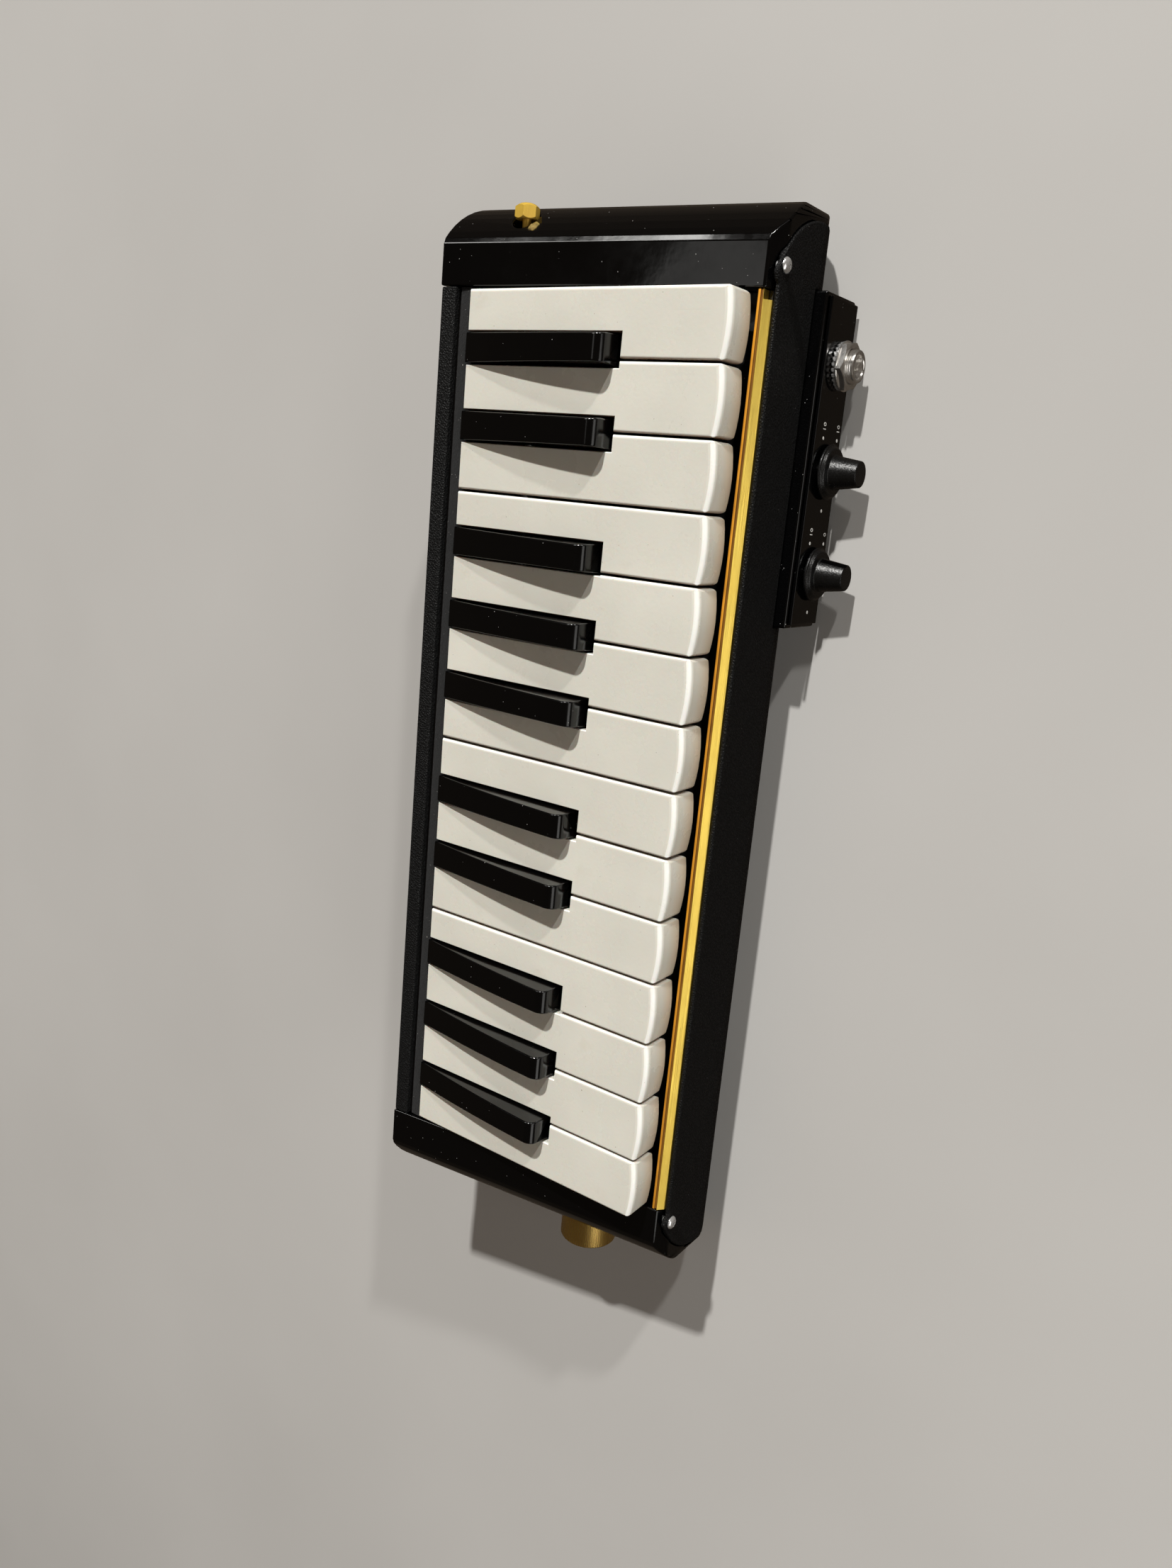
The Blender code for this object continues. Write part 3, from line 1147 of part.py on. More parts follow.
def output_jack():
    centre = (JACK_X, BOX_FACE, CONTROL_Z)
    body_front = PANEL_BACK + GAP
    body_rear = body_front + JACK_BODY_DEPTH
    barrel_foot = -PANEL_THICKNESS - GAP - 2 * MM
    socket = box("jack_socket", (JACK_X - JACK_BODY_WIDTH / 2, body_front, CONTROL_Z - JACK_BODY_HEIGHT / 2),
                 (JACK_X + JACK_BODY_WIDTH / 2, body_rear, CONTROL_Z + JACK_BODY_HEIGHT / 2), STEEL)
    chamfer = 0.4 * MM
    barrel = [(0, JACK_PROUD), (JACK_BARREL_RADIUS - chamfer, JACK_PROUD),
              (JACK_BARREL_RADIUS, JACK_PROUD - chamfer), (JACK_BARREL_RADIUS, barrel_foot), (0, barrel_foot)]
    join(socket, turned("jack_barrel", barrel, centre, "-Y", STEEL))
    cut(socket, rod("jack_bore", JACK_BORE_RADIUS, centre, "-Y", -JACK_BODY_DEPTH - 5 * MM, JACK_PROUD + MM))
    washer_top = GAP + JACK_WASHER_THICKNESS
    ring("jack_washer", JACK_BARREL_RADIUS + GAP, JACK_WASHER_RADIUS, centre, "-Y", GAP, washer_top, STEEL)
    nut_low = washer_top + GAP
    nut_high = nut_low + JACK_NUT_THICKNESS
    across = JACK_NUT_FLATS / math.sqrt(3)
    hexagon = [(JACK_X + across * math.cos(math.radians(60 * index + JACK_NUT_TURN)),
                CONTROL_Z + across * math.sin(math.radians(60 * index + JACK_NUT_TURN))) for index in range(6)]
    nut = along_y("jack_nut", hexagon, BOX_FACE - nut_high, BOX_FACE - nut_low, CHROME)
    join(nut, rod("nut_flange", JACK_FLANGE_RADIUS, centre, "-Y", nut_low, nut_low + JACK_FLANGE_THICKNESS))
    cut(nut, rod("nut_bore", JACK_BARREL_RADIUS + GAP, centre, "-Y", 0, JACK_PROUD + MM))


def circuit_board():
    low_x = FIRST_CONTROL_X - BOARD_LENGTH / 2 + CONTROL_PITCH / 2
    box("circuit_board", (low_x, BOARD_FRONT, BOARD_TOP - BOARD_HEIGHT),
        (low_x + BOARD_LENGTH, BOARD_FRONT + BOARD_THICKNESS, BOARD_TOP), BOARD)


def pickups():
    """Two microphone capsules on a bar along the wind chamber's front."""
    rear = BLOCK_FRONT - GAP
    half = PICKUP_BAR_HEIGHT / 2
    bar = box("pickup_bar", (PICKUP_X[0] - PICKUP_RADIUS, rear - PICKUP_BAR_THICKNESS, PICKUP_Z - half),
              (PICKUP_X[1] + PICKUP_RADIUS, rear, PICKUP_Z + half), STEEL)
    for index, x in enumerate(PICKUP_X):
        join(bar, rod("capsule_%d" % index, PICKUP_RADIUS, (x, rear, PICKUP_Z), "-Y", 0.2 * MM, PICKUP_DEPTH))


def wiring():
    """A lead from the pickups into the control box, and one from its board to the jack."""
    start_x = PICKUP_X[1] + PICKUP_RADIUS + GAP
    y = BLOCK_FRONT - GAP - PICKUP_BAR_THICKNESS / 2
    entry = wire_entry()
    board_rear = BOARD_FRONT + BOARD_THICKNESS + GAP + WIRE_RADIUS
    tube("pickup_lead", [smooth_route([
        (start_x, y, PICKUP_Z), (start_x + 8 * MM, y, PICKUP_Z), (entry - 14 * MM, y - 3 * MM, PICKUP_Z + MM),
        (entry - 4 * MM, 6 * MM, PICKUP_Z + MM), (entry, 3 * MM, BOX_TOP + 0.5 * MM),
        (entry, 3 * MM, BOX_TOP - 4 * MM), (entry, board_rear + 0.6 * MM, BOARD_TOP - 3 * MM),
        (entry, board_rear, BOARD_TOP - 7 * MM),
    ])], WIRE_RADIUS, RUBBER)
    jack_side = JACK_X - JACK_BODY_WIDTH / 2 - GAP - WIRE_RADIUS
    tube("jack_lead", [smooth_route([
        (jack_side - 12 * MM, board_rear, CONTROL_Z - 3 * MM),
        (jack_side - 6 * MM, board_rear + MM, CONTROL_Z - 2 * MM),
        (jack_side - 0.5 * MM, board_rear - MM, CONTROL_Z),
        (jack_side, board_rear - 5 * MM, CONTROL_Z),
    ])], WIRE_RADIUS, RUBBER)


make_keys()
case_shell()
LOW_CAP = end_cap("low")
HIGH_CAP = end_cap("high")
cut(LOW_CAP, mouthpiece_socket(), *SCREW_HOLES, *STUD_HOLES)
cut(HIGH_CAP, drain_valve(), box_clearance(), *SCREW_HOLES, *STUD_HOLES)
bottom_cover()
front_trim()
rear_pieces()
key_bed()
key_shaft()
key_springs()
reed_block()
reeds()
chamber()
control_box()
knob_set("volume", FIRST_CONTROL_X, VOLUME_POINTER)
knob_set("balance", FIRST_CONTROL_X + CONTROL_PITCH, BALANCE_POINTER)
output_jack()
circuit_board()
pickups()
wiring()
feet()
front_screws()
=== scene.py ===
"""Looks of the bass melodica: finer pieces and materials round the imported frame.

Shapes are drawn in the keyboard's own millimetres, as in the part's source: x from the low end of the
keys, y from the front of the white keys, z from their tops. TO_ROW turns them into the frame's metres.
"""

import json
import math

import bmesh
import bpy
from mathutils import Matrix, Vector, noise


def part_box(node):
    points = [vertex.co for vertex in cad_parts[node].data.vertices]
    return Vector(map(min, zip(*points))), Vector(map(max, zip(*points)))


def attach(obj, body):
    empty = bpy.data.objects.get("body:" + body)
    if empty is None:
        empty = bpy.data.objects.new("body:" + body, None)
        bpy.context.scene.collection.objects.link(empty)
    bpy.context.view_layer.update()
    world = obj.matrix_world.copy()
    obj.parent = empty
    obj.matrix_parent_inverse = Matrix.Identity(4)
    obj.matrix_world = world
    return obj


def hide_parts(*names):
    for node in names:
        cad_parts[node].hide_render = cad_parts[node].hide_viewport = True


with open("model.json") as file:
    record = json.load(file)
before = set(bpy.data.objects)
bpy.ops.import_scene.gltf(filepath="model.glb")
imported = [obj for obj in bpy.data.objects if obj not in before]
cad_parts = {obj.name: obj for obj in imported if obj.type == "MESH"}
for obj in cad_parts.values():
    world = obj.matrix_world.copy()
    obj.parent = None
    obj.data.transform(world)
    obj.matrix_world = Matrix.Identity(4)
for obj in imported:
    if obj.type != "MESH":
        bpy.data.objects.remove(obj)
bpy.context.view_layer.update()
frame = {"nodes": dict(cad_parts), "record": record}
NODES = frame["nodes"]
BODY_OF = {}
for body, members in frame["record"]["behaviour"]["bodies"].items():
    for member in members:
        BODY_OF[member] = body
SLOT_OF = {entry["node"]: entry["material_slot"] for entry in frame["record"]["subparts"]}

MM = 0.001
KEY_SIDE_GAP = 0.4
KEY_BOW = 1.0
FIRST_LOW, FIRST_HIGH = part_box("key_01_f")
BASE = Vector((FIRST_LOW.x - KEY_SIDE_GAP * MM, FIRST_LOW.y + KEY_BOW * MM, FIRST_HIGH.z))
TO_ROW = Matrix.Translation(BASE) @ Matrix.Scale(MM, 4)
TO_KEYS = TO_ROW.inverted()

KEY_NAMES = sorted(name for name in NODES if name.startswith("key_") and name[4].isdigit())
WHITE_KEYS = [name for name in KEY_NAMES if SLOT_OF[name] == "ivory"]


def corners(node):
    """A node's lowest and highest corners in the keyboard's millimetres."""
    low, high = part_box(node)
    return TO_KEYS @ low, TO_KEYS @ high


# Camera, lights and stage

CAMERA_PLACE = TO_ROW @ Vector((223.94, -168.31, 296.55))
CAMERA_TURN = (-10.183, 35.051, -83.730)
CAMERA_LENS = 27.636
CAMERA_SENSOR = 36.0
CAMERA_NEAREST = 0.01

WARM = (1.0, 0.985, 0.95)
BROWN = (1.0, 0.6, 0.33)
AMBIENT = (1.0, 0.78, 0.58)
AMBIENT_STRENGTH = 0.06
# Each lamp's direction, distance and size in metres, power in watts and colour. The last two say
# whether it shows in reflections and whether it lights the surfaces.
LAMPS = {
    "main_light": ((0.79, -0.039, 0.612), 5.0, (0.14, 0.14), 268.0, WARM, True, True),
    "second_light": ((0.839, -0.383, 0.387), 5.0, (0.18, 0.18), 90.0, WARM, True, True),
    "front_light": ((-0.22, -0.85, 0.46), 0.9, (0.9, 0.34), 2.0, WARM, True, True),
    "rear_light": ((-0.25, 0.84, 0.45), 1.0, (0.5, 0.16), 0.4, WARM, False, True),
    "crease_light": ((0.64, 0.41, 0.66), 2.0, (0.6, 0.3), 9.0, WARM, True, False),
    "bezel_light": ((0.18, 0.25, 0.95), 2.0, (0.36, 0.36), 0.42, WARM, True, False),
    "overhead_light": ((-0.2, 0.3, 1.0), 1.2, (0.9, 0.6), 0.35, BROWN, False, True),
}
FLOOR_HALF = 4.0


def make_camera():
    data = bpy.data.cameras.new("camera")
    data.lens = CAMERA_LENS
    data.sensor_width = CAMERA_SENSOR
    data.clip_start = CAMERA_NEAREST
    camera = bpy.data.objects.new("camera", data)
    camera.location = CAMERA_PLACE
    camera.rotation_euler = [math.radians(angle) for angle in CAMERA_TURN]
    bpy.context.scene.collection.objects.link(camera)
    bpy.context.scene.camera = camera


def make_lamp(name, direction, distance, size, power, color, mirrored, lighting):
    data = bpy.data.lights.new(name, "AREA")
    data.shape = "RECTANGLE"
    data.size, data.size_y = size
    data.energy = power
    data.color = color
    holder = bpy.data.objects.new(name, data)
    holder.visible_glossy = mirrored
    holder.visible_diffuse = lighting
    towards = Vector(direction).normalized()
    holder.location = towards * distance
    holder.rotation_euler = towards.to_track_quat("Z", "Y").to_euler()
    bpy.context.scene.collection.objects.link(holder)


def make_lights():
    for name, settings in LAMPS.items():
        make_lamp(name, *settings)
    world = bpy.data.worlds.new("world")
    world.use_nodes = True
    background = world.node_tree.nodes["Background"]
    background.inputs["Color"].default_value = (*AMBIENT, 1.0)
    background.inputs["Strength"].default_value = AMBIENT_STRENGTH
    bpy.context.scene.world = world
    view = bpy.context.scene.view_settings
    view.view_transform = "Standard"
    view.look = "None"
    view.exposure = 0.0


# Materials

class Paint:
    """One material: its shader, and short ways to add nodes in front of it."""

    def __init__(self, name, color, roughness, metallic=0.0, **constants):
        self.material = bpy.data.materials.new(name)
        self.material.use_nodes = True
        self.nodes = self.material.node_tree.nodes
        self.links = self.material.node_tree.links
        self.shader = self.nodes["Principled BSDF"]
        self.shader.inputs["Base Color"].default_value = (*color, 1.0)
        self.shader.inputs["Roughness"].default_value = roughness
        self.shader.inputs["Metallic"].default_value = metallic
        for socket, value in constants.items():
            self.shader.inputs[socket.replace("_", " ")].default_value = value
        coordinates = self.nodes.new("ShaderNodeTexCoord")
        self.place = coordinates.outputs["Object"]
        self.facing = coordinates.outputs["Normal"]

    def put(self, socket, value):
        """Sets a node's socket to a number, a colour or another node's output."""
        if isinstance(value, bpy.types.NodeSocket):
            self.links.new(value, socket)
        elif isinstance(value, tuple) and socket.type == "RGBA":
            socket.default_value = (*value, 1.0)
        else:
            socket.default_value = value

    def part(self, vector, axis):
        """One coordinate of a vector."""
        node = self.nodes.new("ShaderNodeSeparateXYZ")
        self.put(node.inputs["Vector"], vector)
        return node.outputs[axis]

    def stretched(self, factors):
        """The object's coordinates, scaled along each axis."""
        node = self.nodes.new("ShaderNodeMapping")
        self.put(node.inputs["Vector"], self.place)
        node.inputs["Scale"].default_value = factors
        return node.outputs["Vector"]

    def noise(self, scale, detail=3.0, roughness=0.5, place=None, distortion=0.0):
        node = self.nodes.new("ShaderNodeTexNoise")
        self.put(node.inputs["Vector"], place or self.place)
        node.inputs["Scale"].default_value = scale
        node.inputs["Detail"].default_value = detail
        node.inputs["Roughness"].default_value = roughness
        node.inputs["Distortion"].default_value = distortion
        return node.outputs["Fac"]

    def cells(self, scale, feature="F1", place=None):
        node = self.nodes.new("ShaderNodeTexVoronoi")
        node.feature = feature
        self.put(node.inputs["Vector"], place or self.place)
        node.inputs["Scale"].default_value = scale
        return node.outputs

    def spread(self, value, low, high, to_low=0.0, to_high=1.0):
        """A value's range from low to high, moved to another range and held inside it."""
        node = self.nodes.new("ShaderNodeMapRange")
        self.put(node.inputs["Value"], value)
        node.inputs["From Min"].default_value = low
        node.inputs["From Max"].default_value = high
        node.inputs["To Min"].default_value = to_low
        node.inputs["To Max"].default_value = to_high
        return node.outputs["Result"]

    def math(self, operation, first, second):
        node = self.nodes.new("ShaderNodeMath")
        node.operation = operation
        self.put(node.inputs[0], first)
        self.put(node.inputs[1], second)
        return node.outputs["Value"]

    def product(self, first, second):
        return self.math("MULTIPLY", first, second)

    def either(self, first, second):
        return self.math("MAXIMUM", first, second)

    def mixed(self, share, first, second):
        """Two colours mixed; each is a colour or a socket."""
        node = self.nodes.new("ShaderNodeMix")
        node.data_type = "RGBA"
        first_color, second_color = [socket for socket in node.inputs if socket.type == "RGBA"]
        self.put(node.inputs["Factor"], share)
        self.put(first_color, first)
        self.put(second_color, second)
        return next(socket for socket in node.outputs if socket.type == "RGBA")

    def covered(self, under, mask, share, over):
        """A colour with another one over it where the mask is, that share of it thick."""
        return self.mixed(self.product(mask, share), under, over)

    def specks(self, scale, share, size):
        """A mask of scattered specks: scale cells a metre, a share of them with a speck of that size."""
        cells = self.cells(scale)
        split = self.nodes.new("ShaderNodeSeparateColor")
        self.put(split.inputs["Color"], cells["Color"])
        chosen = self.math("LESS_THAN", split.outputs["Red"], share)
        grown = self.spread(split.outputs["Green"], 0.0, 1.0, SMALLEST_SPECK * size, size)
        return self.product(chosen, self.math("LESS_THAN", cells["Distance"], grown))

    def lines(self, axis, along, across, low, high, detail=2.0):
        """A mask of fine lines: noise drawn out along one axis."""
        factors = [across, across, across]
        factors["XYZ".index(axis)] = along
        return self.spread(self.noise(1.0, detail, ROUGHER, self.stretched(factors)), low, high)

    def towards(self, side, low, high):
        """A mask of the surface that faces a side of the object, such as "-Y", from low to high cosine."""
        sign = -1.0 if side[0] == "-" else 1.0
        return self.spread(self.product(self.part(self.facing, side[1]), sign), low, high)

    def color(self, value):
        self.put(self.shader.inputs["Base Color"], value)

    def rough(self, value):
        self.put(self.shader.inputs["Roughness"], value)

    def bump(self, height, distance):
        node = self.nodes.new("ShaderNodeBump")
        self.put(node.inputs["Height"], height)
        node.inputs["Distance"].default_value = distance
        self.put(self.shader.inputs["Normal"], node.outputs["Normal"])


ROUGHER = 0.6
SMALLEST_SPECK = 0.35
PLASTIC_IOR = 1.5

IVORY = (0.76, 0.70, 0.58)
IVORY_CLOUDS = (0.68, 0.665, 0.595), (0.74, 0.725, 0.65)
IVORY_PAINTED_SHADE = (0.19, 0.1, 0.05)
IVORY_PAINTED_HIGHLIGHT = (0.92, 0.92, 0.875)
IVORY_FOOT_BROWN = (0.52, 0.38, 0.2)
IVORY_STAIN = (0.42, 0.33, 0.2)
IVORY_SPECK = (0.2, 0.14, 0.08)
# Heights between which the darker, browner foot of the keys' fronts fades out
FOOT_BROWN_FULL = BASE.z - 11.5 * MM
FOOT_BROWN_NONE = BASE.z - 4.5 * MM


def ivory():
    """Aged ivory plastic.

    It is cloudy, with stains and specks. Painted shade browns the sides that face the low notes, a painted
    highlight whitens the upper edges that face the front and the high notes, and the fronts turn darker
    and browner towards their foot.
    """
    paint = Paint("ivory_keys", IVORY, 0.3, Subsurface_Weight=0.12, Subsurface_Scale=0.0015, IOR=PLASTIC_IOR)
    cloudy = paint.spread(paint.noise(28.0, 4.0), 0.35, 0.65)
    tint = paint.mixed(cloudy, *IVORY_CLOUDS)
    patchy = paint.spread(paint.noise(90.0), 0.3, 0.7, 0.75, 1.0)
    # Painted shade: brown on the sides that face the low notes, which the lamps do not reach
    tint = paint.mixed(paint.product(paint.towards("-X", 0.25, 0.8), patchy), tint, IVORY_PAINTED_SHADE)
    # Painted highlight: the worn mask picks the upper edges that face the front and the high notes
    worn = paint.either(paint.towards("-Y", 0.3, 0.42), paint.towards("+X", 0.3, 0.42))
    tint = paint.mixed(paint.product(worn, paint.towards("+Z", 0.3, 0.5)), tint, IVORY_PAINTED_HIGHLIGHT)
    # Darker and browner towards the foot of the fronts
    foot = paint.spread(paint.part(paint.place, "Z"), FOOT_BROWN_FULL, FOOT_BROWN_NONE, 0.6, 0.0)
    tint = paint.mixed(paint.product(paint.towards("-Y", 0.8, 0.95), foot), tint, IVORY_FOOT_BROWN)
    stains = paint.spread(paint.noise(55.0, 5.0, 0.65), 0.62, 0.78, 0.0, 0.16)
    tint = paint.mixed(stains, tint, IVORY_STAIN)
    specks = paint.either(paint.specks(420.0, 0.05, 0.1), paint.specks(900.0, 0.04, 0.13))
    paint.color(paint.covered(tint, specks, 0.62, IVORY_SPECK))
    scratches = paint.lines("Y", 25.0, 2600.0, 0.74, 0.8)
    smudges = paint.spread(paint.noise(60.0, 5.0, ROUGHER), 0.35, 0.7, 0.2, 0.38)
    paint.rough(paint.math("ADD", smudges, paint.product(scratches, 0.2)))
    paint.bump(paint.math("ADD", paint.noise(900.0), paint.product(scratches, -0.6)), 0.00003)
    return paint.material


GLOSS_BLACK = (0.001, 0.001, 0.0011)
GLOSS_DUST = (0.5, 0.5, 0.49)


def gloss(name, roughness, dust_share):
    """Polished black with a little dust and smudges."""
    paint = Paint(name, GLOSS_BLACK, roughness, IOR=PLASTIC_IOR, Specular_IOR_Level=0.4)
    dust = paint.either(paint.specks(1100.0, dust_share, 0.16), paint.specks(420.0, dust_share * 0.2, 0.07))
    paint.color(paint.covered(GLOSS_BLACK, dust, 0.6, GLOSS_DUST))
    smudge = paint.spread(paint.noise(45.0, 5.0, 0.65), 0.42, 0.75, roughness, roughness + 0.1)
    paint.rough(paint.math("ADD", smudge, paint.product(dust, 0.5)))
    paint.bump(paint.noise(260.0, 2.0), 0.000012)
    return paint.material


LEATHER = (0.012, 0.012, 0.012)
LEATHER_PAINTED_CREVICE_SHADE = (0.001, 0.001, 0.001), (0.0048, 0.0048, 0.005)
LEATHER_DUST = (0.35, 0.34, 0.33)
PEBBLES = 1150.0
PEBBLE_WANDER = (0.0005, 0.0005, 0.0005)


def leatherette():
    """Black leatherette with a pebbled grain, and painted shade in the crevices between the pebbles."""
    paint = Paint("leatherette", LEATHER, 0.5, IOR=PLASTIC_IOR, Specular_IOR_Level=0.22)
    node = paint.nodes.new("ShaderNodeVectorMath")
    node.operation = "MULTIPLY_ADD"
    paint.put(node.inputs[0], paint.noise(700.0, 3.0, ROUGHER))
    paint.put(node.inputs[1], PEBBLE_WANDER)
    paint.put(node.inputs[2], paint.place)
    edge = paint.cells(PEBBLES, "DISTANCE_TO_EDGE", node.outputs["Vector"])
    pebble = paint.spread(edge["Distance"], 0.0, 0.32)
    fine = paint.noise(3600.0, 3.0, ROUGHER)
    # Painted shade: darker between the pebbles than on their tops
    shade = paint.mixed(pebble, *LEATHER_PAINTED_CREVICE_SHADE)
    paint.color(paint.covered(shade, paint.specks(700.0, 0.03, 0.13), 0.5, LEATHER_DUST))
    paint.rough(paint.spread(pebble, 0.0, 1.0, 0.72, 0.42))
    paint.bump(paint.math("ADD", paint.math("POWER", pebble, 0.6), paint.product(fine, 0.35)), 0.00022)
    return paint.material


def gold(name, roughness, tint, dark=(0.62, 0.36, 0.1), dark_share=0.4, metallic=1.0):
    """Gold finish with fine lines along the keyboard. The trim's lip and groove use it for painted shade."""
    paint = Paint(name, tint, roughness, metallic)
    lines = paint.lines("X", 18.0, 5200.0, 0.35, 0.7, 3.0)
    blotch = paint.spread(paint.noise(160.0, 4.0), 0.4, 0.75)
    share = paint.math("ADD", paint.product(lines, dark_share), paint.product(blotch, 0.25))
    paint.color(paint.mixed(share, tint, dark))
    paint.rough(paint.math("ADD", paint.product(lines, 0.14), roughness))
    paint.bump(lines, 0.00002)
    return paint.material


def plated(name, tint, roughness, dark_share=0.1, metallic=1.0):
    """Nickel, chrome or steel with fine scratches."""
    paint = Paint(name, tint, roughness, metallic)
    scratches = paint.spread(paint.noise(2400.0, 4.0, 0.7), 0.45, 0.75)
    dull = tuple(0.6 * part for part in tint)
    paint.color(paint.covered(tint, scratches, dark_share, dull))
    paint.rough(paint.spread(paint.noise(500.0), 0.3, 0.7, roughness, roughness + 0.12))
    paint.bump(scratches, 0.00001)
    return paint.material


MOULDED_DUST = (0.36, 0.35, 0.34)


def moulded(name, tint, roughness, grain_scale, grain_height, dust_share=0.03):
    """Plastic or rubber with a moulded grain and a little dust."""
    paint = Paint(name, tint, roughness, IOR=1.48, Specular_IOR_Level=0.45)
    grain = paint.noise(grain_scale, 3.0, ROUGHER)
    lighter = tuple(min(1.0, part * 1.7) for part in tint)
    shade = paint.mixed(paint.spread(paint.noise(90.0, 4.0), 0.3, 0.7), tint, lighter)
    paint.color(paint.covered(shade, paint.specks(600.0, dust_share, 0.12), 0.5, MOULDED_DUST))
    paint.rough(paint.spread(grain, 0.3, 0.7, roughness - 0.08, roughness + 0.08))
    paint.bump(grain, grain_height)
    return paint.material


FELT = (0.012, 0.012, 0.013)
FELT_SHADES = (0.002, 0.002, 0.0022), (0.014, 0.014, 0.015)
LINT = (0.4, 0.39, 0.37)


def felt():
    """Black felt with pale lint."""
    paint = Paint("black_felt", FELT, 0.95, Sheen_Weight=0.06, Sheen_Roughness=0.5)
    fibres = paint.noise(4200.0, 4.0, 0.7, paint.stretched((0.4, 1.0, 1.0)))
    shade = paint.mixed(paint.spread(fibres, 0.4, 0.75), *FELT_SHADES)
    lint = paint.either(paint.specks(650.0, 0.16, 0.15), paint.specks(1500.0, 0.1, 0.2))
    paint.color(paint.covered(shade, lint, 0.6, LINT))
    paint.bump(fibres, 0.00025)
    return paint.material


# Near-black: painted shade where the rail shows in the gap behind the felt
BEECH = (0.02, 0.015, 0.012)
BEECH_SHADES = (0.008, 0.006, 0.005), (0.004, 0.003, 0.002)


def beech():
    """Beech in near-black: painted shade where the rail shows in the gap between the felt and the rim."""
    paint = Paint("beech_painted_shade", BEECH, 0.6)
    grain = paint.noise(1.0, 4.0, ROUGHER, paint.stretched((40.0, 900.0, 900.0)), 0.6)
    paint.color(paint.mixed(paint.spread(grain, 0.35, 0.7), *BEECH_SHADES))
    paint.bump(grain, 0.0001)
    return paint.material


BOARD = (0.03, 0.12, 0.05)
BOARD_SHADES = (0.02, 0.09, 0.035), (0.05, 0.17, 0.07)


def board():
    """Green circuit board with a faint weave."""
    paint = Paint("board_green", BOARD, 0.4)
    warp = paint.noise(1.0, 1.0, 0.5, paint.stretched((1500.0, 60.0, 60.0)))
    weft = paint.noise(1.0, 1.0, 0.5, paint.stretched((60.0, 60.0, 1500.0)))
    weave = paint.product(warp, weft)
    paint.color(paint.mixed(paint.spread(weave, 0.15, 0.35), *BOARD_SHADES))
    paint.bump(weave, 0.00005)
    return paint.material


PRINT = (0.8, 0.8, 0.77)
PRINT_SHADES = (0.62, 0.61, 0.58), (0.85, 0.84, 0.81)


def print_white():
    """White print, slightly worn."""
    paint = Paint("white_print", PRINT, 0.55)
    grain = paint.noise(5000.0, 2.0)
    paint.color(paint.mixed(paint.spread(grain, 0.35, 0.6), *PRINT_SHADES))
    paint.bump(grain, 0.00001)
    return paint.material


FLOOR = (0.5, 0.49, 0.475)
FLOOR_SHADES = (0.49, 0.48, 0.465), (0.52, 0.51, 0.495)


def pale_floor():
    paint = Paint("pale_floor", FLOOR, 0.8, Specular_IOR_Level=0.2)
    paint.color(paint.mixed(paint.spread(paint.noise(6.0), 0.3, 0.7), *FLOOR_SHADES))
    return paint.material


FINISH = {
    "ivory": ivory(),
    "black_keys": gloss("black_key_gloss", 0.12, 0.03),
    "piano": gloss("piano_gloss", 0.06, 0.06),
    "panel": gloss("panel_gloss", 0.05, 0.03),
    "leatherette": leatherette(),
    "trim": gold("trim_gold", 0.3, (1.0, 0.74, 0.15), (0.9, 0.56, 0.08), 0.25),
    # The lip and the groove take darker, more orange copies of the gold: painted shade
    "lip_painted_shade": gold("lip_gold_painted_shade", 0.5, (1.0, 0.45, 0.03), (0.4, 0.16, 0.015), 0.8, 0.4),
    "groove_painted_shade": gold("groove_gold_painted_shade", 0.5, (0.45, 0.2, 0.02), (0.12, 0.05, 0.01), 0.9, 0.3),
    "polished": gold("polished_gold", 0.14, (1.0, 0.66, 0.1), dark_share=0.12, metallic=0.4),
    "brushed": gold("brushed_gold", 0.22, (0.95, 0.66, 0.2), dark_share=0.3),
    "nickel": plated("bright_nickel", (0.85, 0.83, 0.8), 0.14, metallic=0.94),
    "chrome": plated("plain_chrome", (0.9, 0.9, 0.9), 0.12, metallic=0.8),
    "steel": plated("plain_steel", (0.5, 0.5, 0.51), 0.3, dark_share=0.3),
    "brass": gold("plain_brass", 0.35, (0.7, 0.52, 0.24), (0.45, 0.3, 0.12)),
    "knob": moulded("satin_knob", (0.003, 0.003, 0.003), 0.3, 2000.0, 0.00009, 0.02),
    "slot": gloss("slot_gloss", 0.1, 0.02),
    "satin": moulded("satin_black", (0.007, 0.007, 0.007), 0.5, 2600.0, 0.00006),
    "rubber": moulded("black_rubber", (0.012, 0.012, 0.012), 0.75, 1800.0, 0.0001),
    "chamber_plastic": moulded("grey_plastic", (0.16, 0.16, 0.15), 0.5, 1500.0, 0.00005),
    "felt": felt(),
    "wood": beech(),
    "circuit_board": board(),
    "print": print_white(),
}
SLOT_FINISH = {
    "leatherette": "leatherette", "black_gloss": "piano", "black_satin": "satin", "ivory": "ivory",
    "gold": "brushed", "chrome": "nickel", "steel": "steel", "brass": "brass", "felt": "felt",
    "wood": "wood", "rubber": "rubber", "chamber_plastic": "chamber_plastic",
    "circuit_board": "circuit_board",
}
# Every node wears its slot's finish, and keeps it where no finer piece stands for it
for name, node in NODES.items():
    node.data.materials.clear()
    node.data.materials.append(FINISH[SLOT_FINISH[SLOT_OF[name]]])


# Mesh tools

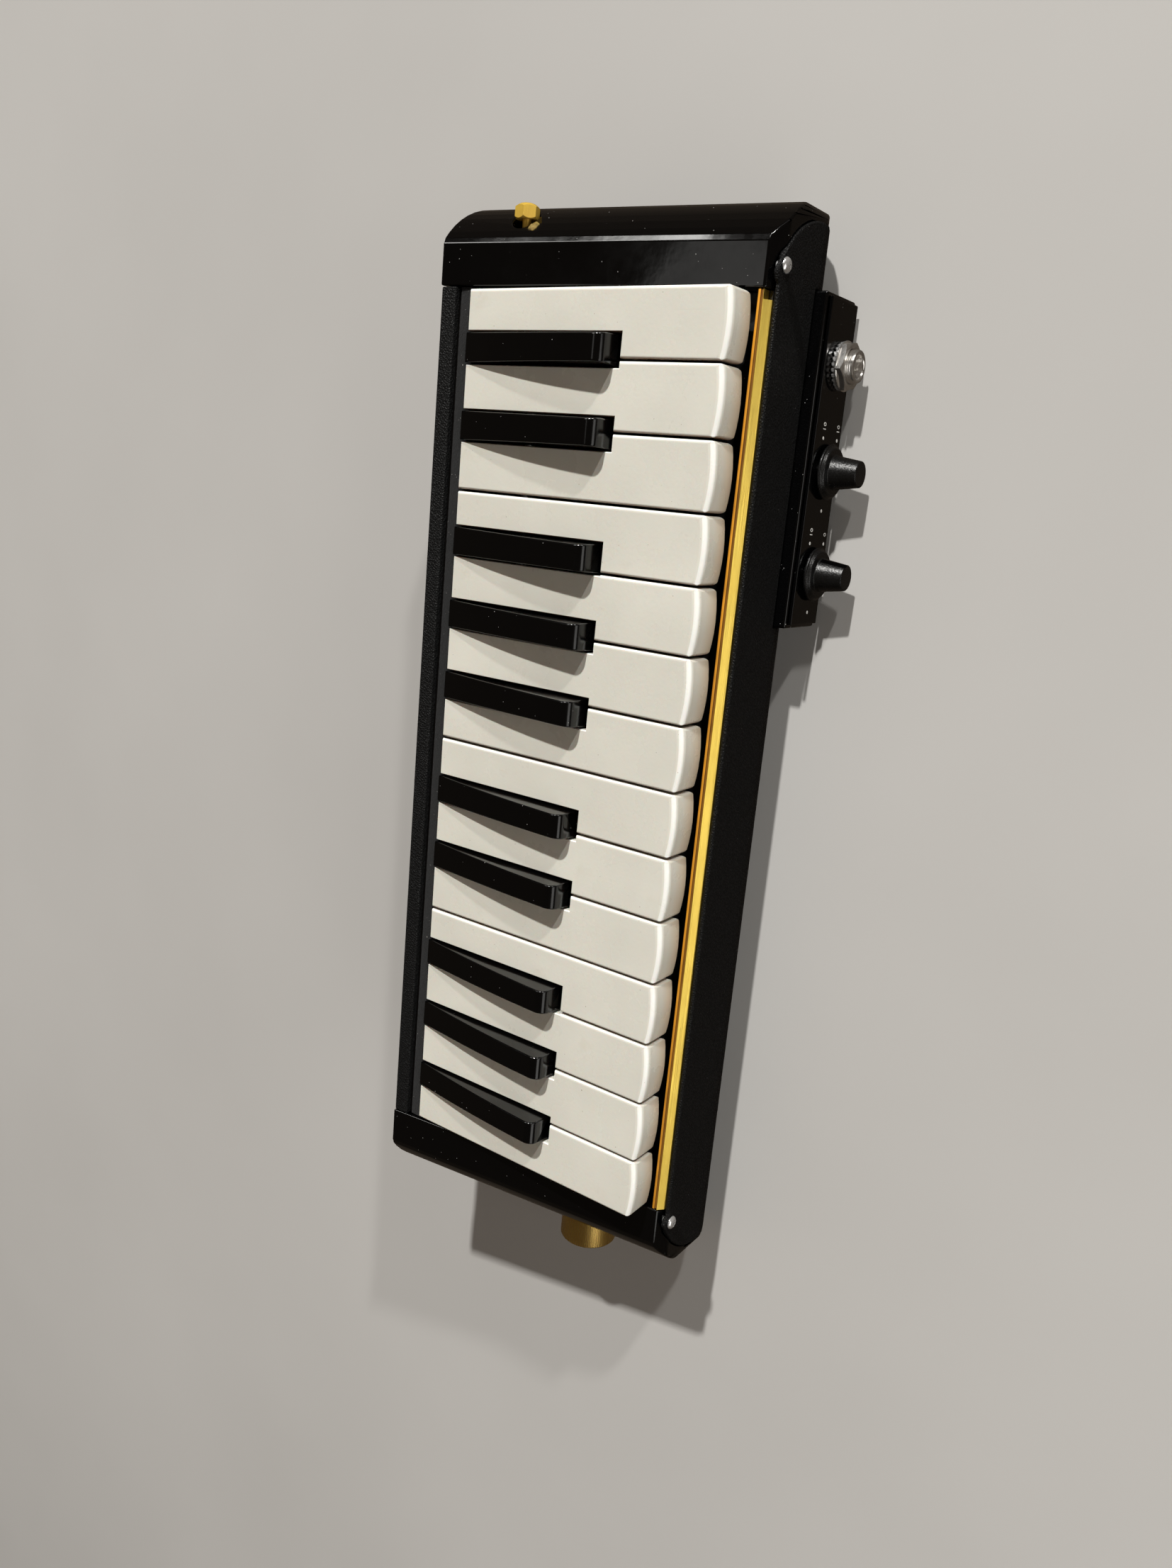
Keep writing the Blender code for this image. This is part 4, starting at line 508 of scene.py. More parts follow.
def piece_from(shape, name, finishes, smooth_angle):
    """A piece from a shape in the keyboard's millimetres. Its faces pick one of the finishes."""
    bmesh.ops.transform(shape, matrix=TO_ROW, verts=shape.verts)
    mesh = bpy.data.meshes.new(name)
    shape.to_mesh(mesh)
    shape.free()
    for finish in finishes:
        mesh.materials.append(FINISH[finish])
    mesh.shade_smooth()
    mesh.set_sharp_from_angle(angle=math.radians(smooth_angle))
    piece = bpy.data.objects.new(name, mesh)
    bpy.context.scene.collection.objects.link(piece)
    return piece


def dressed(shape, node, *finishes, smooth_angle=30.0):
    """A finished piece that stands for the node."""
    piece = piece_from(shape, node + "_detailed", finishes, smooth_angle)
    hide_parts(node)
    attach(piece, BODY_OF[node])
    return piece


def shape_of(node):
    """The node's own shape in the keyboard's millimetres, with its flat faces whole."""
    shape = bmesh.new()
    shape.from_mesh(NODES[node].data)
    bmesh.ops.transform(shape, matrix=TO_KEYS, verts=shape.verts)
    bmesh.ops.remove_doubles(shape, verts=shape.verts, dist=0.002)
    bmesh.ops.dissolve_limit(shape, angle_limit=math.radians(0.5), verts=shape.verts, edges=shape.edges)
    return shape


def run_of(edge):
    """An edge's middle and direction."""
    first, last = (vert.co for vert in edge.verts)
    return (first + last) / 2, (last - first).normalized()


def weigh_edges(shape, rule, least_angle=18.0):
    """Gives each edge that turns by more than least_angle the bevel weight that the rule says."""
    layer = shape.edges.layers.float.new("bevel_weight_edge")
    for edge in shape.edges:
        if len(edge.link_faces) != 2:
            continue
        if abs(edge.calc_face_angle_signed(0.0)) >= math.radians(least_angle):
            edge[layer] = rule(*run_of(edge))


def bevel(piece, width, segments, angle=None):
    """Rounds the piece's edges: those that turn by more than the angle, or else by their weights."""
    step = piece.modifiers.new("rounded_edges", "BEVEL")
    step.width = width * MM
    step.segments = segments
    step.limit_method = "WEIGHT" if angle is None else "ANGLE"
    step.use_clamp_overlap = angle is not None
    if angle is not None:
        step.angle_limit = math.radians(angle)
    normals = piece.modifiers.new("even_normals", "WEIGHTED_NORMAL")
    normals.keep_sharp = True


def boxed(low, high):
    shape = bmesh.new()
    bmesh.ops.create_cube(shape, size=1.0)
    low, high = Vector(low), Vector(high)
    bmesh.ops.scale(shape, vec=high - low, verts=shape.verts)
    bmesh.ops.translate(shape, vec=(low + high) / 2, verts=shape.verts)
    return shape


def padded(low, high):
    """A box's corners, moved out by a millimetre."""
    margin = Vector((1, 1, 1))
    return low - margin, high + margin


TURNS = {
    "+X": Matrix.Rotation(math.pi / 2, 4, "Y"),
    "-X": Matrix.Rotation(-math.pi / 2, 4, "Y"),
    "-Y": Matrix.Rotation(math.pi / 2, 4, "X"),
}
SMOOTH_STEPS = 96
SMALL_STEPS = 48
THREAD_STEPS = 72


def lathe(profile, centre, axis, steps, closed=False):
    """A turned shape: (radius, height) points, heights along the axis from centre."""
    shape = bmesh.new()
    rings = []
    for radius, height in profile:
        count = 1 if radius < 1e-6 else steps
        turns = [2 * math.pi * index / steps for index in range(count)]
        rings.append([shape.verts.new((radius * math.cos(turn), radius * math.sin(turn), height))
                      for turn in turns])
    pairs = list(zip(rings, rings[1:]))
    if closed:
        pairs.append((rings[-1], rings[0]))
    for here, there in pairs:
        if len(here) == 1 and len(there) == 1:
            continue
        for index in range(steps):
            after = (index + 1) % steps
            ring = [here[index % len(here)], here[after % len(here)],
                    there[after % len(there)], there[index % len(there)]]
            shape.faces.new(list(dict.fromkeys(ring)))
    bmesh.ops.recalc_face_normals(shape, faces=shape.faces)
    bmesh.ops.transform(shape, matrix=Matrix.Translation(centre) @ TURNS[axis], verts=shape.verts)
    return shape


def stitch(shape, here, there):
    """Adds the faces between two rings of as many corners each."""
    for index in range(len(here)):
        after = (index + 1) % len(here)
        shape.faces.new((here[index], here[after], there[after], there[index]))


def prism(outline, low, high, axis):
    """An outline swept from low to high: (y, z) points along X, or (x, z) points along Y."""
    shape = bmesh.new()
    place = {"X": lambda a, b, c: (c, a, b), "Y": lambda a, b, c: (a, c, b)}[axis]
    near = [shape.verts.new(place(a, b, low)) for a, b in outline]
    far = [shape.verts.new(place(a, b, high)) for a, b in outline]
    shape.faces.new(near)
    shape.faces.new(far)
    stitch(shape, near, far)
    bmesh.ops.recalc_face_normals(shape, faces=shape.faces)
    return shape


def hexagon(middle, radius, first):
    """A hexagon's corners round a middle point, from the angle of the first one."""
    turns = [math.radians(60 * index + first) for index in range(6)]
    return [(middle[0] + radius * math.cos(turn), middle[1] + radius * math.sin(turn)) for turn in turns]


def rounded(profile, radius, steps=4):
    """A (radius, height) line with each inner corner rounded by up to that radius."""
    line = [profile[0]]
    for before, corner, after in zip(profile, profile[1:], profile[2:]):
        before, corner, after = Vector(before), Vector(corner), Vector(after)
        reach = min(radius, (before - corner).length * 0.45, (after - corner).length * 0.45)
        start = corner + (before - corner).normalized() * reach
        stop = corner + (after - corner).normalized() * reach
        for index in range(steps + 1):
            t = index / steps
            line.append(tuple(start.lerp(corner, t).lerp(corner.lerp(stop, t), t)))
    line.append(profile[-1])
    return line


def joined(*shapes):
    """Several shapes in one mesh, each closed on its own."""
    whole = bmesh.new()
    for shape in shapes:
        mesh = bpy.data.meshes.new("part")
        shape.to_mesh(mesh)
        shape.free()
        whole.from_mesh(mesh)
        bpy.data.meshes.remove(mesh)
    return whole


def holder_of(shape):
    """A passing object that holds a shape for a boolean."""
    mesh = bpy.data.meshes.new("working")
    shape.to_mesh(mesh)
    shape.free()
    holder = bpy.data.objects.new("working", mesh)
    bpy.context.scene.collection.objects.link(holder)
    return holder


def combined(shape, other, operation):
    """Two shapes after a boolean, as one new shape."""
    first, second = holder_of(shape), holder_of(other)
    step = first.modifiers.new("combine", "BOOLEAN")
    step.operation = operation
    step.object = second
    step.solver = "EXACT"
    graph = bpy.context.evaluated_depsgraph_get()
    mesh = bpy.data.meshes.new_from_object(first.evaluated_get(graph))
    result = bmesh.new()
    result.from_mesh(mesh)
    bpy.data.objects.remove(first)
    bpy.data.objects.remove(second)
    bpy.data.meshes.remove(mesh)
    return result


def paint_faces(shape, index, rule):
    """Gives the piece's finish of that index to the faces that the rule picks by middle and normal."""
    for face in shape.faces:
        if rule(face.calc_center_median(), face.normal):
            face.material_index = index


# Keys

# How near to a plane an edge counts as lying on it, and the cosines from which it runs mostly or
# wholly along an axis
NEAR = 0.05
MOSTLY = 0.5
WHOLLY = 0.9

WHITE_EDGE = 2.5
WHITE_LIP_BOTTOM = -10.9
WHITE_LIP_DEPTH = 2.3
# Shares of WHITE_EDGE by which the edges are rounded
CREST = 0.8
HIGH_SIDE = 0.4
LOW_SIDE = 0.27
OTHER_TOP = 0.12
FRONT_UPRIGHT = 0.34
FRONT_BOTTOM = 0.16
LIP_CORNER = 1.0

BLACK_EDGE = 0.45
BLACK_REAR_SHARE = 0.4
BLACK_FRONT = 35.2
BLACK_REAR = 90.3
BLACK_HEIGHT = 6.9
BLACK_REAR_HEIGHT = 0.5
BLACK_CROWN = 0.82
BLACK_NOSE_RADIUS = 3.3
BLACK_NOSE_SLOPE = 0.5
BLACK_PLATE = 3.0
BLACK_LEVER_TOP = -2.6
BLACK_HALF = 4.4
BLACK_DRAFT = 0.575 / BLACK_HEIGHT
NOSE_STEPS = 20
CROWN_STEPS = 24
CROWN_START = 0.09


def white_key_rule(node):
    low, high = corners(node)

    def rule(middle, run):
        at_top = middle.z > -NEAR
        at_front = middle.y < NEAR and abs(run.y) < WHOLLY
        at_bottom = middle.z < WHITE_LIP_BOTTOM
        at_side = min(abs(middle.x - low.x), abs(middle.x - high.x)) < NEAR
        upright = abs(run.z) > MOSTLY
        lengthwise = abs(run.y) > MOSTLY
        if middle.y > high.y + 0.1 or (middle.z < low.z + 1 and upright):
            return 0.0
        if at_top and at_front:
            return CREST
        if at_top and lengthwise and middle.x > high.x - NEAR:
            return HIGH_SIDE
        if at_top and lengthwise and middle.x < low.x + NEAR:
            return LOW_SIDE
        if at_top:
            return OTHER_TOP
        if at_front and upright:
            return FRONT_UPRIGHT
        if at_front and abs(run.x) > MOSTLY and at_bottom:
            return FRONT_BOTTOM
        if at_bottom and middle.y < WHITE_LIP_DEPTH and lengthwise and at_side:
            return LIP_CORNER
        return 0.0

    return rule


def black_key_rule(middle, run):
    if middle.z < 0.1 - BLACK_PLATE or abs(run.x) > MOSTLY:
        return 0.0
    if middle.y > BLACK_REAR - 1.3:
        return BLACK_REAR_SHARE
    return 1.0


def black_key_side():
    """A black key from the side, with a crowned top and a rounded nose, finer than the node's."""
    lean = BLACK_NOSE_SLOPE / BLACK_HEIGHT
    corner = Vector((BLACK_FRONT + BLACK_NOSE_SLOPE, BLACK_HEIGHT))
    end = Vector((BLACK_REAR, BLACK_REAR_HEIGHT))

    def crowned(share):
        return corner.lerp(end, share) + Vector((0, 4 * BLACK_CROWN * share * (1 - share)))

    up = Vector((lean, 1)).normalized()
    whole = up.angle((crowned(0.001) - corner).normalized())
    middle = corner + (Vector((up.y, -up.x)) - up * math.tan(whole / 2)) * BLACK_NOSE_RADIUS
    first = math.pi - math.atan(lean)
    turns = [first - whole * index / NOSE_STEPS for index in range(NOSE_STEPS + 1)]
    nose = [tuple(middle + BLACK_NOSE_RADIUS * Vector((math.cos(turn), math.sin(turn)))) for turn in turns]
    shares = [CROWN_START + (1 - CROWN_START) * index / CROWN_STEPS for index in range(CROWN_STEPS + 1)]
    top = [tuple(crowned(share)) for share in shares]
    return [(BLACK_FRONT - lean * BLACK_PLATE, -BLACK_PLATE), *nose, *top, (BLACK_REAR, -BLACK_PLATE)]


def make_black_key(name, side):
    """The key's own lever under a finer key top."""
    low, high = corners(name)
    centre = (low.x + high.x) / 2
    start, stop = padded(low, high)
    stop.z = BLACK_LEVER_TOP
    lever = combined(shape_of(name), boxed(start, stop), "INTERSECT")
    top = prism(side, centre - BLACK_HALF, centre + BLACK_HALF, "X")
    for vert in top.verts:
        vert.co.x -= math.copysign(BLACK_DRAFT * vert.co.z, vert.co.x - centre)
    return combined(lever, top, "UNION")


def make_keys():
    side = black_key_side()
    for name in KEY_NAMES:
        if name in WHITE_KEYS:
            shape = shape_of(name)
            weigh_edges(shape, white_key_rule(name))
            bevel(dressed(shape, name, "ivory"), WHITE_EDGE, 5)
        else:
            shape = make_black_key(name, side)
            weigh_edges(shape, black_key_rule)
            bevel(dressed(shape, name, "black_keys"), BLACK_EDGE, 3)


# Case

CAP_EDGE = 0.55
CAP_CREASE = 1.0
CAP_CREASE_SHARE = 0.45
CAP_GAP = 0.5
BEZEL_WIDTH = 13.0
CAP_CREASE_LOWEST = -14
CAP_FOOT = -45
CAP_SIDE_TOP = -20
CAP_SIDE_FRONT, CAP_SIDE_REAR = -3, 99
KEYS_MIDDLE = (corners(KEY_NAMES[0])[0].x + corners(KEY_NAMES[-1])[1].x) / 2
CREASE_PLACE = KEYS_MIDDLE + CAP_GAP + BEZEL_WIDTH
# The other pieces of the case: finish and rounding of the edges
PLAIN_PIECES = {
    "case_shell": ("leatherette", 0.5),
    "control_box": ("piano", 0.7),
    "control_panel": ("panel", 0.22),
    "bottom_cover": ("satin", 0.4),
}


def along_crease(middle, run, reach):
    """Whether an edge runs along the crease between the bezel and the rounded end, within reach of it."""
    aside = abs(abs(middle.x - KEYS_MIDDLE) - CREASE_PLACE)
    return aside < reach and abs(run.y) > WHOLLY and middle.z > CAP_CREASE_LOWEST


def cap_rule(middle, run):
    in_side = CAP_SIDE_FRONT < middle.y < CAP_SIDE_REAR and middle.z < CAP_SIDE_TOP
    if middle.z < CAP_FOOT or in_side:
        return 0.0
    return CAP_CREASE_SHARE if along_crease(middle, run, 1.5) else 1.0


def chamfer_crease(shape):
    """Turns the crease between the sloping bezel and the rounded end into a narrow flat band."""
    crease = [edge for edge in shape.edges if along_crease(*run_of(edge), NEAR) and edge.calc_length() > 20]
    bmesh.ops.bevel(shape, geom=crease, offset=CAP_CREASE, segments=1, affect="EDGES", profile=0.5)


def make_case():
    for name in ("low_end_cap", "high_end_cap"):
        shape = shape_of(name)
        chamfer_crease(shape)
        weigh_edges(shape, cap_rule, 14.0)
        bevel(dressed(shape, name, "piano", smooth_angle=12.0), CAP_EDGE, 3)
    for name, (finish, width) in PLAIN_PIECES.items():
        shape = shape_of(name)
        weigh_edges(shape, lambda middle, run: 1.0, 32.0)
        bevel(dressed(shape, name, finish), width, 3)


TRIM_CREST = -4.0
TRIM_GROOVE = -3.1
TRIM_GROOVE_WALL = TRIM_CREST + 0.25
TRIM_GROOVE_DEPTH = 0.55
TRIM_BAND_FOOT = -13.2
TRIM_BAND_INSET = 2.6
TRIM_EDGE = 0.12


def make_trim():
    """A lip and a groove along the keys, and in front of them a bright sloping band that is shorter."""
    low, high = corners("front_trim")
    inner, outer = high.y, low.y
    top, bottom = high.z, low.z
    floor = top - TRIM_GROOVE_DEPTH
    strip = [
        (inner, top - 0.2), (inner - 0.2, top), (TRIM_GROOVE + 0.08, top), (TRIM_GROOVE, top - 0.08),
        (TRIM_GROOVE, floor), (TRIM_GROOVE_WALL, floor), (TRIM_GROOVE_WALL, top - 0.12),
        (TRIM_CREST + 0.12, top), (TRIM_CREST - 0.02, top), (TRIM_CREST - 0.02, bottom), (inner, bottom),
    ]
    band = [
        (TRIM_CREST, top), (TRIM_CREST - 0.14, top - 0.1), (outer + 0.32, TRIM_BAND_FOOT + 0.45),
        (outer + 0.1, TRIM_BAND_FOOT + 0.28), (outer, TRIM_BAND_FOOT), (outer, bottom), (TRIM_CREST, bottom),
    ]
    shape = combined(prism(strip, low.x, high.x, "X"), prism(band, low.x, high.x - TRIM_BAND_INSET, "X"),
                     "UNION")
    behind, above = TRIM_CREST + NEAR, bottom + 0.1
    # Painted shade: the lip's and the groove's faces take the darker copies of the gold
    paint_faces(shape, 1, lambda middle, normal: middle.y > behind and middle.z > above)
    paint_faces(shape, 2, lambda middle, normal: behind < middle.y < TRIM_GROOVE + NEAR and middle.z > above)
    piece = dressed(shape, "front_trim", "trim", "lip_painted_shade", "groove_painted_shade", smooth_angle=50.0)
    bevel(piece, TRIM_EDGE, 2, 60.0)


FELT_STEP = 0.6
FELT_ACROSS = 10
FELT_RADIUS = 0.5
FELT_FUZZ = 0.12
FELT_FUZZ_SCALE = 2.1
FELT_FUZZ_SLICE = 3.0


def make_felt():
    """A strip with rounded edges and a slightly uneven top."""
    low, high = corners("felt_strip")
    steps = int((high.x - low.x) / FELT_STEP)
    shape = bmesh.new()
    rows = []
    for index in range(steps + 1):
        x = low.x + (high.x - low.x) * index / steps
        row = [shape.verts.new((x, low.y, low.z))]
        for part in range(FELT_ACROSS + 1):
            y = low.y + (high.y - low.y) * part / FELT_ACROSS
            edge = min(y - low.y, high.y - y, FELT_RADIUS)
            drop = FELT_RADIUS - math.sqrt(max(0.0, FELT_RADIUS ** 2 - (FELT_RADIUS - edge) ** 2))
            place = Vector((x * FELT_FUZZ_SCALE, y * FELT_FUZZ_SCALE, FELT_FUZZ_SLICE))
            lift = FELT_FUZZ * noise.noise(place) - FELT_FUZZ
            row.append(shape.verts.new((x, y, high.z - drop + lift)))
        row.append(shape.verts.new((x, high.y, low.z)))
        rows.append(row)
    for here, there in zip(rows, rows[1:]):
        stitch(shape, here, there)
    shape.faces.new(rows[0])
    shape.faces.new(rows[-1])
    bmesh.ops.recalc_face_normals(shape, faces=shape.faces)
    dressed(shape, "felt_strip", "felt", smooth_angle=60.0)


# Controls

PANEL_FACE = corners("control_panel")[0].y

KNOB_FOOT = 0.8
KNOB_SKIRT = 8.1
KNOB_RIM = 7.1
KNOB_SKIRT_HEIGHT = 1.9
KNOB_BARREL = 5.1
KNOB_TIP = 3.85
KNOB_GROOVE_WIDTH = 2.0
KNOB_GROOVE_DEPTH = 0.5
KNOB_BUSHING = 1.5
KNOB_BUSHING_RADIUS = 3.3
KNOB_SHAFT = 2.0
KNOB_ROUNDING = 0.35
VOLUME_POINTER = 26.0
BALANCE_POINTER = 180.0


def on_panel(node):
    """A node's corners, and its middle on the panel's face."""
    low, high = corners(node)
    return low, high, Vector(((low.x + high.x) / 2, PANEL_FACE, (low.z + high.z) / 2))


def make_knob(name, pointer):
    """A skirted knob with a pointer groove down its barrel and the shaft that turns with it."""
    low, high, centre = on_panel(name)
    tip = PANEL_FACE - low.y
    step = KNOB_FOOT + KNOB_SKIRT_HEIGHT
    foot = PANEL_FACE - high.y
    outer = [(0, tip), (KNOB_TIP, tip), (KNOB_BARREL - 0.05, step), (KNOB_RIM - 0.1, step),
             (KNOB_RIM + 0.55, KNOB_FOOT + 0.75), (KNOB_SKIRT, KNOB_FOOT + 0.7), (KNOB_SKIRT, KNOB_FOOT),
             (KNOB_BUSHING_RADIUS, KNOB_FOOT)]
    under = [(KNOB_BUSHING_RADIUS, KNOB_BUSHING), (KNOB_SHAFT, KNOB_BUSHING), (KNOB_SHAFT, foot), (0, foot)]
    shape = lathe(rounded(outer, KNOB_ROUNDING, 5) + under, centre, "-Y", SMOOTH_STEPS)
    half = KNOB_GROOVE_WIDTH / 2
    groove_floor = KNOB_TIP - KNOB_GROOVE_DEPTH
    groove = boxed((groove_floor, -tip - 1, -half), (KNOB_BARREL + 1, -step - 0.5, half))
    turn = Matrix.Rotation(-math.radians(pointer), 4, "Y")
    bmesh.ops.transform(groove, matrix=Matrix.Translation(centre) @ turn, verts=groove.verts)
    shape = combined(shape, groove, "DIFFERENCE")
    along = turn @ Vector((1, 0, 0))

    def in_groove(middle, normal):
        offset = middle - centre
        aside = abs(offset.z * along.x - offset.x * along.z)
        return normal.dot(along) > 0.97 and abs(offset.dot(along) - groove_floor) < NEAR and aside < half

    paint_faces(shape, 1, in_groove)
    dressed(shape, name, "knob", "slot", smooth_angle=28.0)


PRINT_THICKNESS = 0.04
DOT_RADIUS = 0.5
DOT_STEPS = 20
NUMERAL_PITCH = 1.35
NUMERAL_HEIGHT = 1.6
NUMERAL_WIDTH = 1.1
NUMERAL_STROKE = 0.26
NUMERAL_STEPS = 24
# Each knob's dots, and the numerals beside two of them: text, x and z
VOLUME_DOTS = (214.0, -42.4), (214.0, -52.1), (193.3, -46.9)
VOLUME_NUMERALS = ("10", 216.6, -42.4), ("0", 216.8, -52.1)
BALANCE_DOTS = (244.4, -42.1), (244.4, -51.8), (223.7, -47.4)
BALANCE_NUMERALS = ("10", 247.0, -42.1), ("10", 247.0, -51.8)


def dot(x, z):
    profile = [(0, PRINT_THICKNESS), (DOT_RADIUS - 0.03, PRINT_THICKNESS), (DOT_RADIUS, 0)]
    return lathe(profile, Vector((x, PANEL_FACE, z)), "-Y", DOT_STEPS)


def numeral(letter, x, z):
    """A one is a bar and a nought an oval ring, standing up the panel's long side."""
    if letter == "1":
        half = Vector((NUMERAL_STROKE / 2, 0, NUMERAL_HEIGHT / 2))
        middle = Vector((x, PANEL_FACE, z))
        return boxed(middle - half - Vector((0, PRINT_THICKNESS, 0)), middle + half)
    shape = bmesh.new()
    stroke, thick = NUMERAL_STROKE, PRINT_THICKNESS
    turns = [2 * math.pi * index / NUMERAL_STEPS for index in range(NUMERAL_STEPS)]
    rings = []
    for inset, depth in ((0, 0), (stroke, 0), (stroke, thick), (0, thick)):
        wide, tall = NUMERAL_WIDTH / 2 - inset, NUMERAL_HEIGHT / 2 - inset
        ring = [(x + wide * math.cos(turn), PANEL_FACE - depth, z + tall * math.sin(turn)) for turn in turns]
        rings.append([shape.verts.new(point) for point in ring])
    for here, there in zip(rings, rings[1:] + rings[:1]):
        stitch(shape, here, there)
    bmesh.ops.recalc_face_normals(shape, faces=shape.faces)
    return shape


def make_marks(name, dots, numerals):
    """Printed dots round a knob, with plain numerals. No node stands for them."""
    shapes = [dot(x, z) for x, z in dots]
    for text, x, z in numerals:
        shapes += [numeral(letter, x + NUMERAL_PITCH * index, z) for index, letter in enumerate(text)]
    piece = piece_from(joined(*shapes), name, ["print"], 30.0)
    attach(piece, "case")


JACK_BORE = 3.3
JACK_BARREL = 4.65
JACK_INSIDE = -12.0
JACK_BODY_GAP = 1.3
THREAD_PITCH = 0.62
THREAD_DEPTH = 0.28
THREAD_LOWEST = -1.0


def make_jack():
    """A threaded barrel with a rounded mouth, in front of the socket's body."""
    low, high, centre = on_panel("jack_socket")
    proud = PANEL_FACE - low.y
    root = JACK_BARREL - THREAD_DEPTH
    profile = [(JACK_BORE, JACK_INSIDE), (JACK_BORE, proud - 1.3), (JACK_BORE + 0.12, proud - 1.0),
               (JACK_BORE + 0.1, proud - 0.7), (JACK_BORE + 0.35, proud - 0.15), (JACK_BORE + 0.6, proud),
               (JACK_BARREL - 0.45, proud), (JACK_BARREL - 0.15, proud - 0.12),
               (JACK_BARREL - 0.02, proud - 0.35)]
    height = proud - 0.45
    while height > THREAD_LOWEST:
        profile += [(JACK_BARREL, height - 0.1), (JACK_BARREL, height - 0.22), (root, height - 0.36),
                    (root, height - 0.46)]
        height -= THREAD_PITCH
    profile += [(JACK_BARREL - 0.1, THREAD_LOWEST - 0.25), (JACK_BARREL - 0.1, JACK_INSIDE)]
    barrel = lathe(profile, centre, "-Y", THREAD_STEPS, closed=True)
    bore = lathe([(0, 2), (JACK_BORE, 2), (JACK_BORE, -30), (0, -30)], centre, "-Y", SMALL_STEPS)
    body = combined(boxed((low.x, centre.y + JACK_BODY_GAP, low.z), high), bore, "DIFFERENCE")
    dressed(combined(body, barrel, "UNION"), "jack_socket", "nickel", smooth_angle=35.0)


NUT_FLATS = 12.7
NUT_TURN = 40.7
NUT_CHAMFER = 32
NUT_FLANGE = 7.1
NUT_FLANGE_THICKNESS = 0.5
NUT_EDGE = 0.1


def make_nut():
    """A hexagon with turned-off corners on a round flange."""
    low, high, centre = on_panel("jack_nut")
    near, far = PANEL_FACE - high.y, PANEL_FACE - low.y
    across = NUT_FLATS / math.sqrt(3)
    shape = prism(hexagon((centre.x, centre.z), across, NUT_TURN), low.y, high.y, "Y")
    face = NUT_FLATS / 2 - 0.1
    wide = across + 1
    slope = math.tan(math.radians(NUT_CHAMFER))
    cone = [(0, far), (face, far), (wide, far - (wide - face) * slope), (wide, near), (0, near)]
    shape = combined(shape, lathe(cone, centre, "-Y", SMOOTH_STEPS), "INTERSECT")
    rim = near + NUT_FLANGE_THICKNESS
    flange = [(0, rim), (NUT_FLANGE - 0.15, rim), (NUT_FLANGE, rim - 0.15), (NUT_FLANGE, near + 0.1),
              (NUT_FLANGE - 0.1, near), (0, near)]
    shape = combined(shape, lathe(flange, centre, "-Y", SMOOTH_STEPS), "UNION")
    bore = JACK_BARREL + 0.12
    hole = [(0, far + 1), (bore + 0.55, far + 0.05), (bore + 0.5, far), (bore, far - 0.5), (bore, near - 1),
            (0, near - 1)]
    shape = combined(shape, lathe(hole, centre, "-Y", THREAD_STEPS), "DIFFERENCE")
    bevel(dressed(shape, "jack_nut", "nickel", smooth_angle=25.0), NUT_EDGE, 2, 25.0)


WASHER_TEETH = 26
WASHER_ROOT = 6.0
WASHER_TWIST = 0.18
WASHER_TWIST_START = 2.2
WASHER_HOLE_STEPS = 64
# A tooth's corners: share of the tooth's turn, and whether the corner is at its tip
WASHER_TOOTH = (0.0, False), (0.3, False), (0.42, True), (0.88, True)


def make_washer():
    """A washer with teeth that are twisted out of its plane."""
    low, high, centre = on_panel("jack_washer")
    outer, inner = (high.x - low.x) / 2, JACK_BARREL + 0.3
    outline = []
    for index in range(WASHER_TEETH):
        for share, at_tip in WASHER_TOOTH:
            radius = outer if at_tip else WASHER_ROOT
            turn = 2 * math.pi * (index + share) / WASHER_TEETH
            outline.append((centre.x + radius * math.cos(turn), centre.z + radius * math.sin(turn)))
    shape = prism(outline, low.y, high.y, "Y")
    for vert in shape.verts:
        x, z = vert.co.x - centre.x, vert.co.z - centre.z
        if math.hypot(x, z) > WASHER_ROOT + 0.1:
            side = math.copysign(1, math.sin(WASHER_TEETH * math.atan2(z, x) - WASHER_TWIST_START))
            vert.co.y = min(max(vert.co.y + WASHER_TWIST * side, low.y), high.y)
    hole = lathe([(0, 5), (inner, 5), (inner, -5), (0, -5)], centre, "-Y", WASHER_HOLE_STEPS)
    dressed(combined(shape, hole, "DIFFERENCE"), "jack_washer", "chrome", smooth_angle=25.0)


# Ends

DRAIN_RADIUS = 3.8
DRAIN_HEAD_LENGTH = 4.7
DRAIN_TURN = -11.0
DRAIN_TOP_CORNER = 109.0
DRAIN_OVERLAP = 0.4
DRAIN_EDGE = 0.16
DRAIN_DOME = [(0, 0), (1.0, -0.04), (1.8, -0.16), (2.4, -0.36), (2.8, -0.6)]


def make_drain():
    """A hexagonal head with a domed tip. Behind it come the node's own stems, arm and valve disc."""
    low, high = corners("drain_button")
    above = DRAIN_RADIUS * math.sin(math.radians(DRAIN_TOP_CORNER))
    centre = Vector((high.x, (low.y + high.y) / 2, high.z - above))
    base = high.x - DRAIN_HEAD_LENGTH
    head = prism(hexagon((centre.y, centre.z), DRAIN_RADIUS, DRAIN_TURN), base, high.x, "X")
    wide = DRAIN_RADIUS + 0.6
    dome = DRAIN_DOME + [(wide, -1.75), (wide, 1.3 - DRAIN_HEAD_LENGTH),
                         (DRAIN_RADIUS - 0.6, -DRAIN_HEAD_LENGTH), (0, -DRAIN_HEAD_LENGTH)]
    head = combined(head, lathe(dome, centre, "+X", SMOOTH_STEPS), "INTERSECT")
    start, stop = padded(low, high)
    stop.x = base + DRAIN_OVERLAP
    behind = combined(shape_of("drain_button"), boxed(start, stop), "INTERSECT")
    shape = combined(head, behind, "UNION")
    bevel(dressed(shape, "drain_button", "polished", smooth_angle=25.0), DRAIN_EDGE, 3, 30.0)


